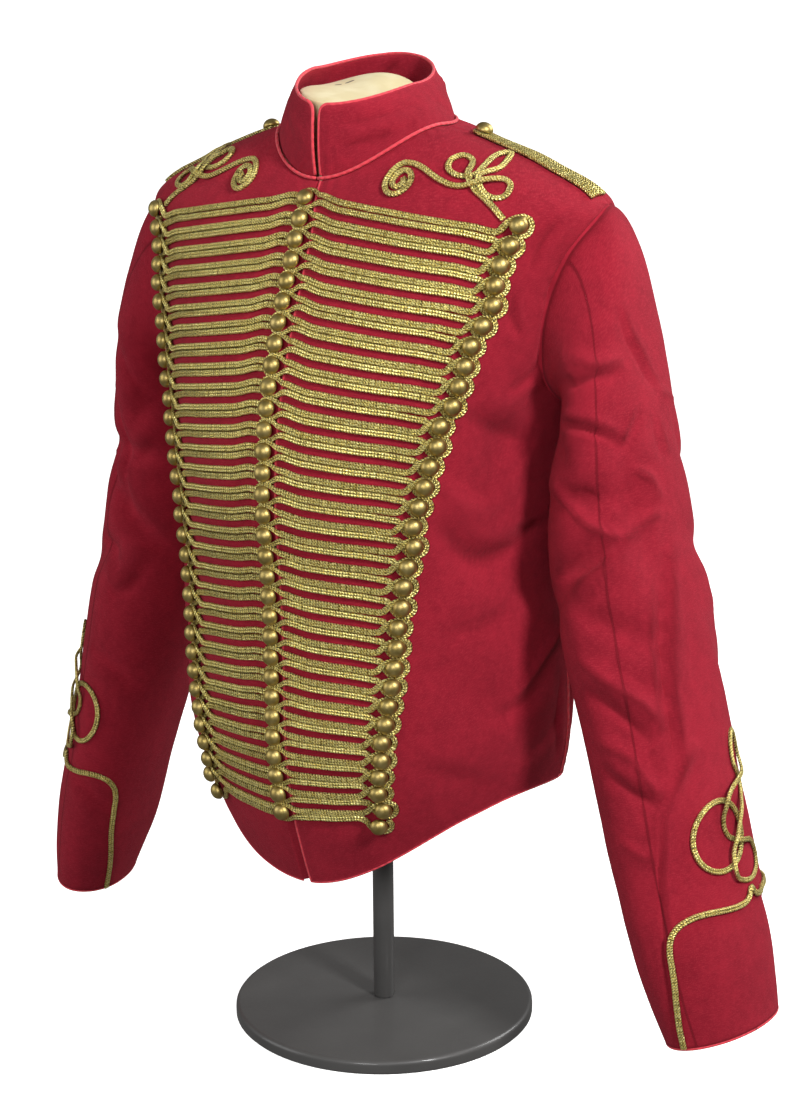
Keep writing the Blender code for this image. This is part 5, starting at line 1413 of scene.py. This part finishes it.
def linen_paint():
    """Plain weave with old stains, and painted shade in the slot of the neck cap."""
    place = object_place()
    warp, weft = (grain(stretched(place, threads), 1.0, 2.0) for threads in (WARP, WEFT))
    stain = grain(place, STAIN, 4.0)
    colour = mixed(stain.past(0.45, 3.0), LINEN, LINEN_PALE)
    x, y, z = place.parts()
    # Each mark of painted shade darkens the cover along the slot, on the cap only
    for middle_x, middle_y, half, direction in CAP_SLOT_SHADES:
        c, s = cos(direction), sin(direction)
        along = ((x - middle_x) * c + (y - middle_y) * s).maths("ABSOLUTE") * (1 / half)
        across = ((y - middle_y) * c - (x - middle_x) * s).maths("ABSOLUTE") * (1 / SLOT_SHADE_WIDE)
        inside = SLOT_SHADE_FULL - along.maths("POWER", 4.0) - across.maths("POWER", 2.0)
        near = inside.past(stain * SLOT_SHADE_FRAY, SLOT_SHADE_SOFT).maths("MULTIPLY", z.past(CAP_Z, 1 / CAP_BLEND))
        colour = mixed(near * 0.95, colour, SLOT_SHADE_COLOUR)
    return {"Base Color": colour, "Roughness": 0.86 + warp * 0.1, "Normal": raised(warp + weft, LINEN_DEEP)}


def steel_paint():
    place = object_place()
    speck = grain(place, SPECK, 3.0)
    colour = mixed(grain(place, STEEL_CLOUD, 3.0), STEEL, STEEL_PALE)
    return {"Base Color": colour, "Roughness": 0.38 + speck * 0.16, "Normal": raised(speck, SPECK_DEEP)}


linen = material("cream_cover", {"Specular IOR Level": 0.3, "Sheen Weight": 0.1}, linen_paint)
painted_steel = material("painted_steel", {"Specular IOR Level": 0.5, "Coat Weight": 0.25}, steel_paint)


def turned_solid(name, rings, finish, node):
    """A closed piece from rings of equally many points, capped at both ends."""
    rings = np.asarray(rings)
    rows, count = rings.shape[:2]
    faces = []
    for r in range(rows - 1):
        for k in range(count):
            a, b = r * count + k, r * count + (k + 1) % count
            faces.append((a, b, b + count, a + count))
    faces += [tuple(range(count))[::-1], tuple(range((rows - 1) * count, rows * count))]
    piece = add_mesh(name, rings.reshape(-1, 3), faces, finish)
    piece.data.set_sharp_from_angle(angle=TURNED_EDGE)
    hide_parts(node)


form_turn = 2 * pi * (np.arange(FORM_STEPS) + 0.5) / FORM_STEPS
near_turn = np.minimum(form_turn, 2 * pi - form_turn)
mirrored = np.where(form_turn < pi, 1.0, -1.0)[:, None] * np.array((1.0, 0, 0)) + np.array((0, 1.0, 1.0))


def form_ring(level, ease):
    """A ring of the torso, this far inside the cloth."""
    room = FORM_FRONT_ROOM * np.maximum(np.cos(near_turn), 0.0) ** FORM_FRONT_NARROW
    normal = normal_of(body_point, near_turn, level)
    return (body_point(near_turn, level) - normal * (CLOTH + ease + FORM_SCENE_EASE + room)[:, None]) * mirrored


rings = []
foot = form_ring(level_at(near_turn, FORM_FOOT_Z), FORM_FOOT_EASE)
middle = foot.mean(axis=0)
for share, lift in FORM_FOOT:
    ring = middle + (foot - middle) * share
    ring[:, 2] = FORM_FOOT_Z + lift
    rings.append(ring)
for place in np.linspace(0, len(FORM_ROWS) - 1, TORSO_RINGS):
    level, ease = row_at(FORM_ROWS, place)
    rings.append(form_ring(np.full(FORM_STEPS, level), ease))
for place in np.linspace(0, len(NECK_SECTIONS) - 1, NECK_RINGS):
    ring = section_point(row_at(NECK_SECTIONS, place), form_turn)
    ring[:, 2] += TOP_TILT * min(place, 1.0) * ring[:, 0]
    rings.append(ring)
cap_ring = rings[-1]
cap_middle = cap_ring.mean(axis=0)
for share, lift in NECK_CAP:
    rings.append(cap_middle + (cap_ring - cap_middle) * share + np.array((0, 0, lift)))
turned_solid("form_cotton", rings, linen, "dress_form")


def around_axis(rows, sides):
    """Rings about the stand's axis from radii and heights."""
    turn = 2 * pi * np.arange(sides) / sides
    return [np.stack((r * np.cos(turn), r * np.sin(turn), np.full(sides, z)), -1) for r, z in rows]


BEVEL, POLE_END = 0.002, 0.9  # and the radius of the pole's ends, as a share
pole_rows = [
    (POLE_R * POLE_END, BASE_TALL + SEAM), (POLE_R, BASE_TALL + BEVEL),
    (POLE_R, FORM_FOOT_Z - BEVEL), (POLE_R * POLE_END, FORM_FOOT_Z - SEAM),
]
turned_solid("stand_pole_painted", around_axis(pole_rows, POLE_SIDES), painted_steel, "stand_pole")
EDGE_STEPS, BASE_MIDDLE = 6, (0.030, 0.024)  # and the radii of the rings in the middle of the base's top
base_rows = [(BASE_R - BEVEL, 0.0), (BASE_R, BEVEL), (BASE_R, BASE_TALL - BASE_EDGE)]
for k in range(1, EDGE_STEPS + 1):
    angle = pi / 2 * k / EDGE_STEPS
    base_rows.append((BASE_R - BASE_EDGE * (1 - cos(angle)), BASE_TALL - BASE_EDGE * (1 - sin(angle))))
base_rows += [(radius, BASE_TALL) for radius in BASE_MIDDLE]
turned_solid("stand_base_painted", around_axis(base_rows, BASE_SIDES), painted_steel, "stand_base")
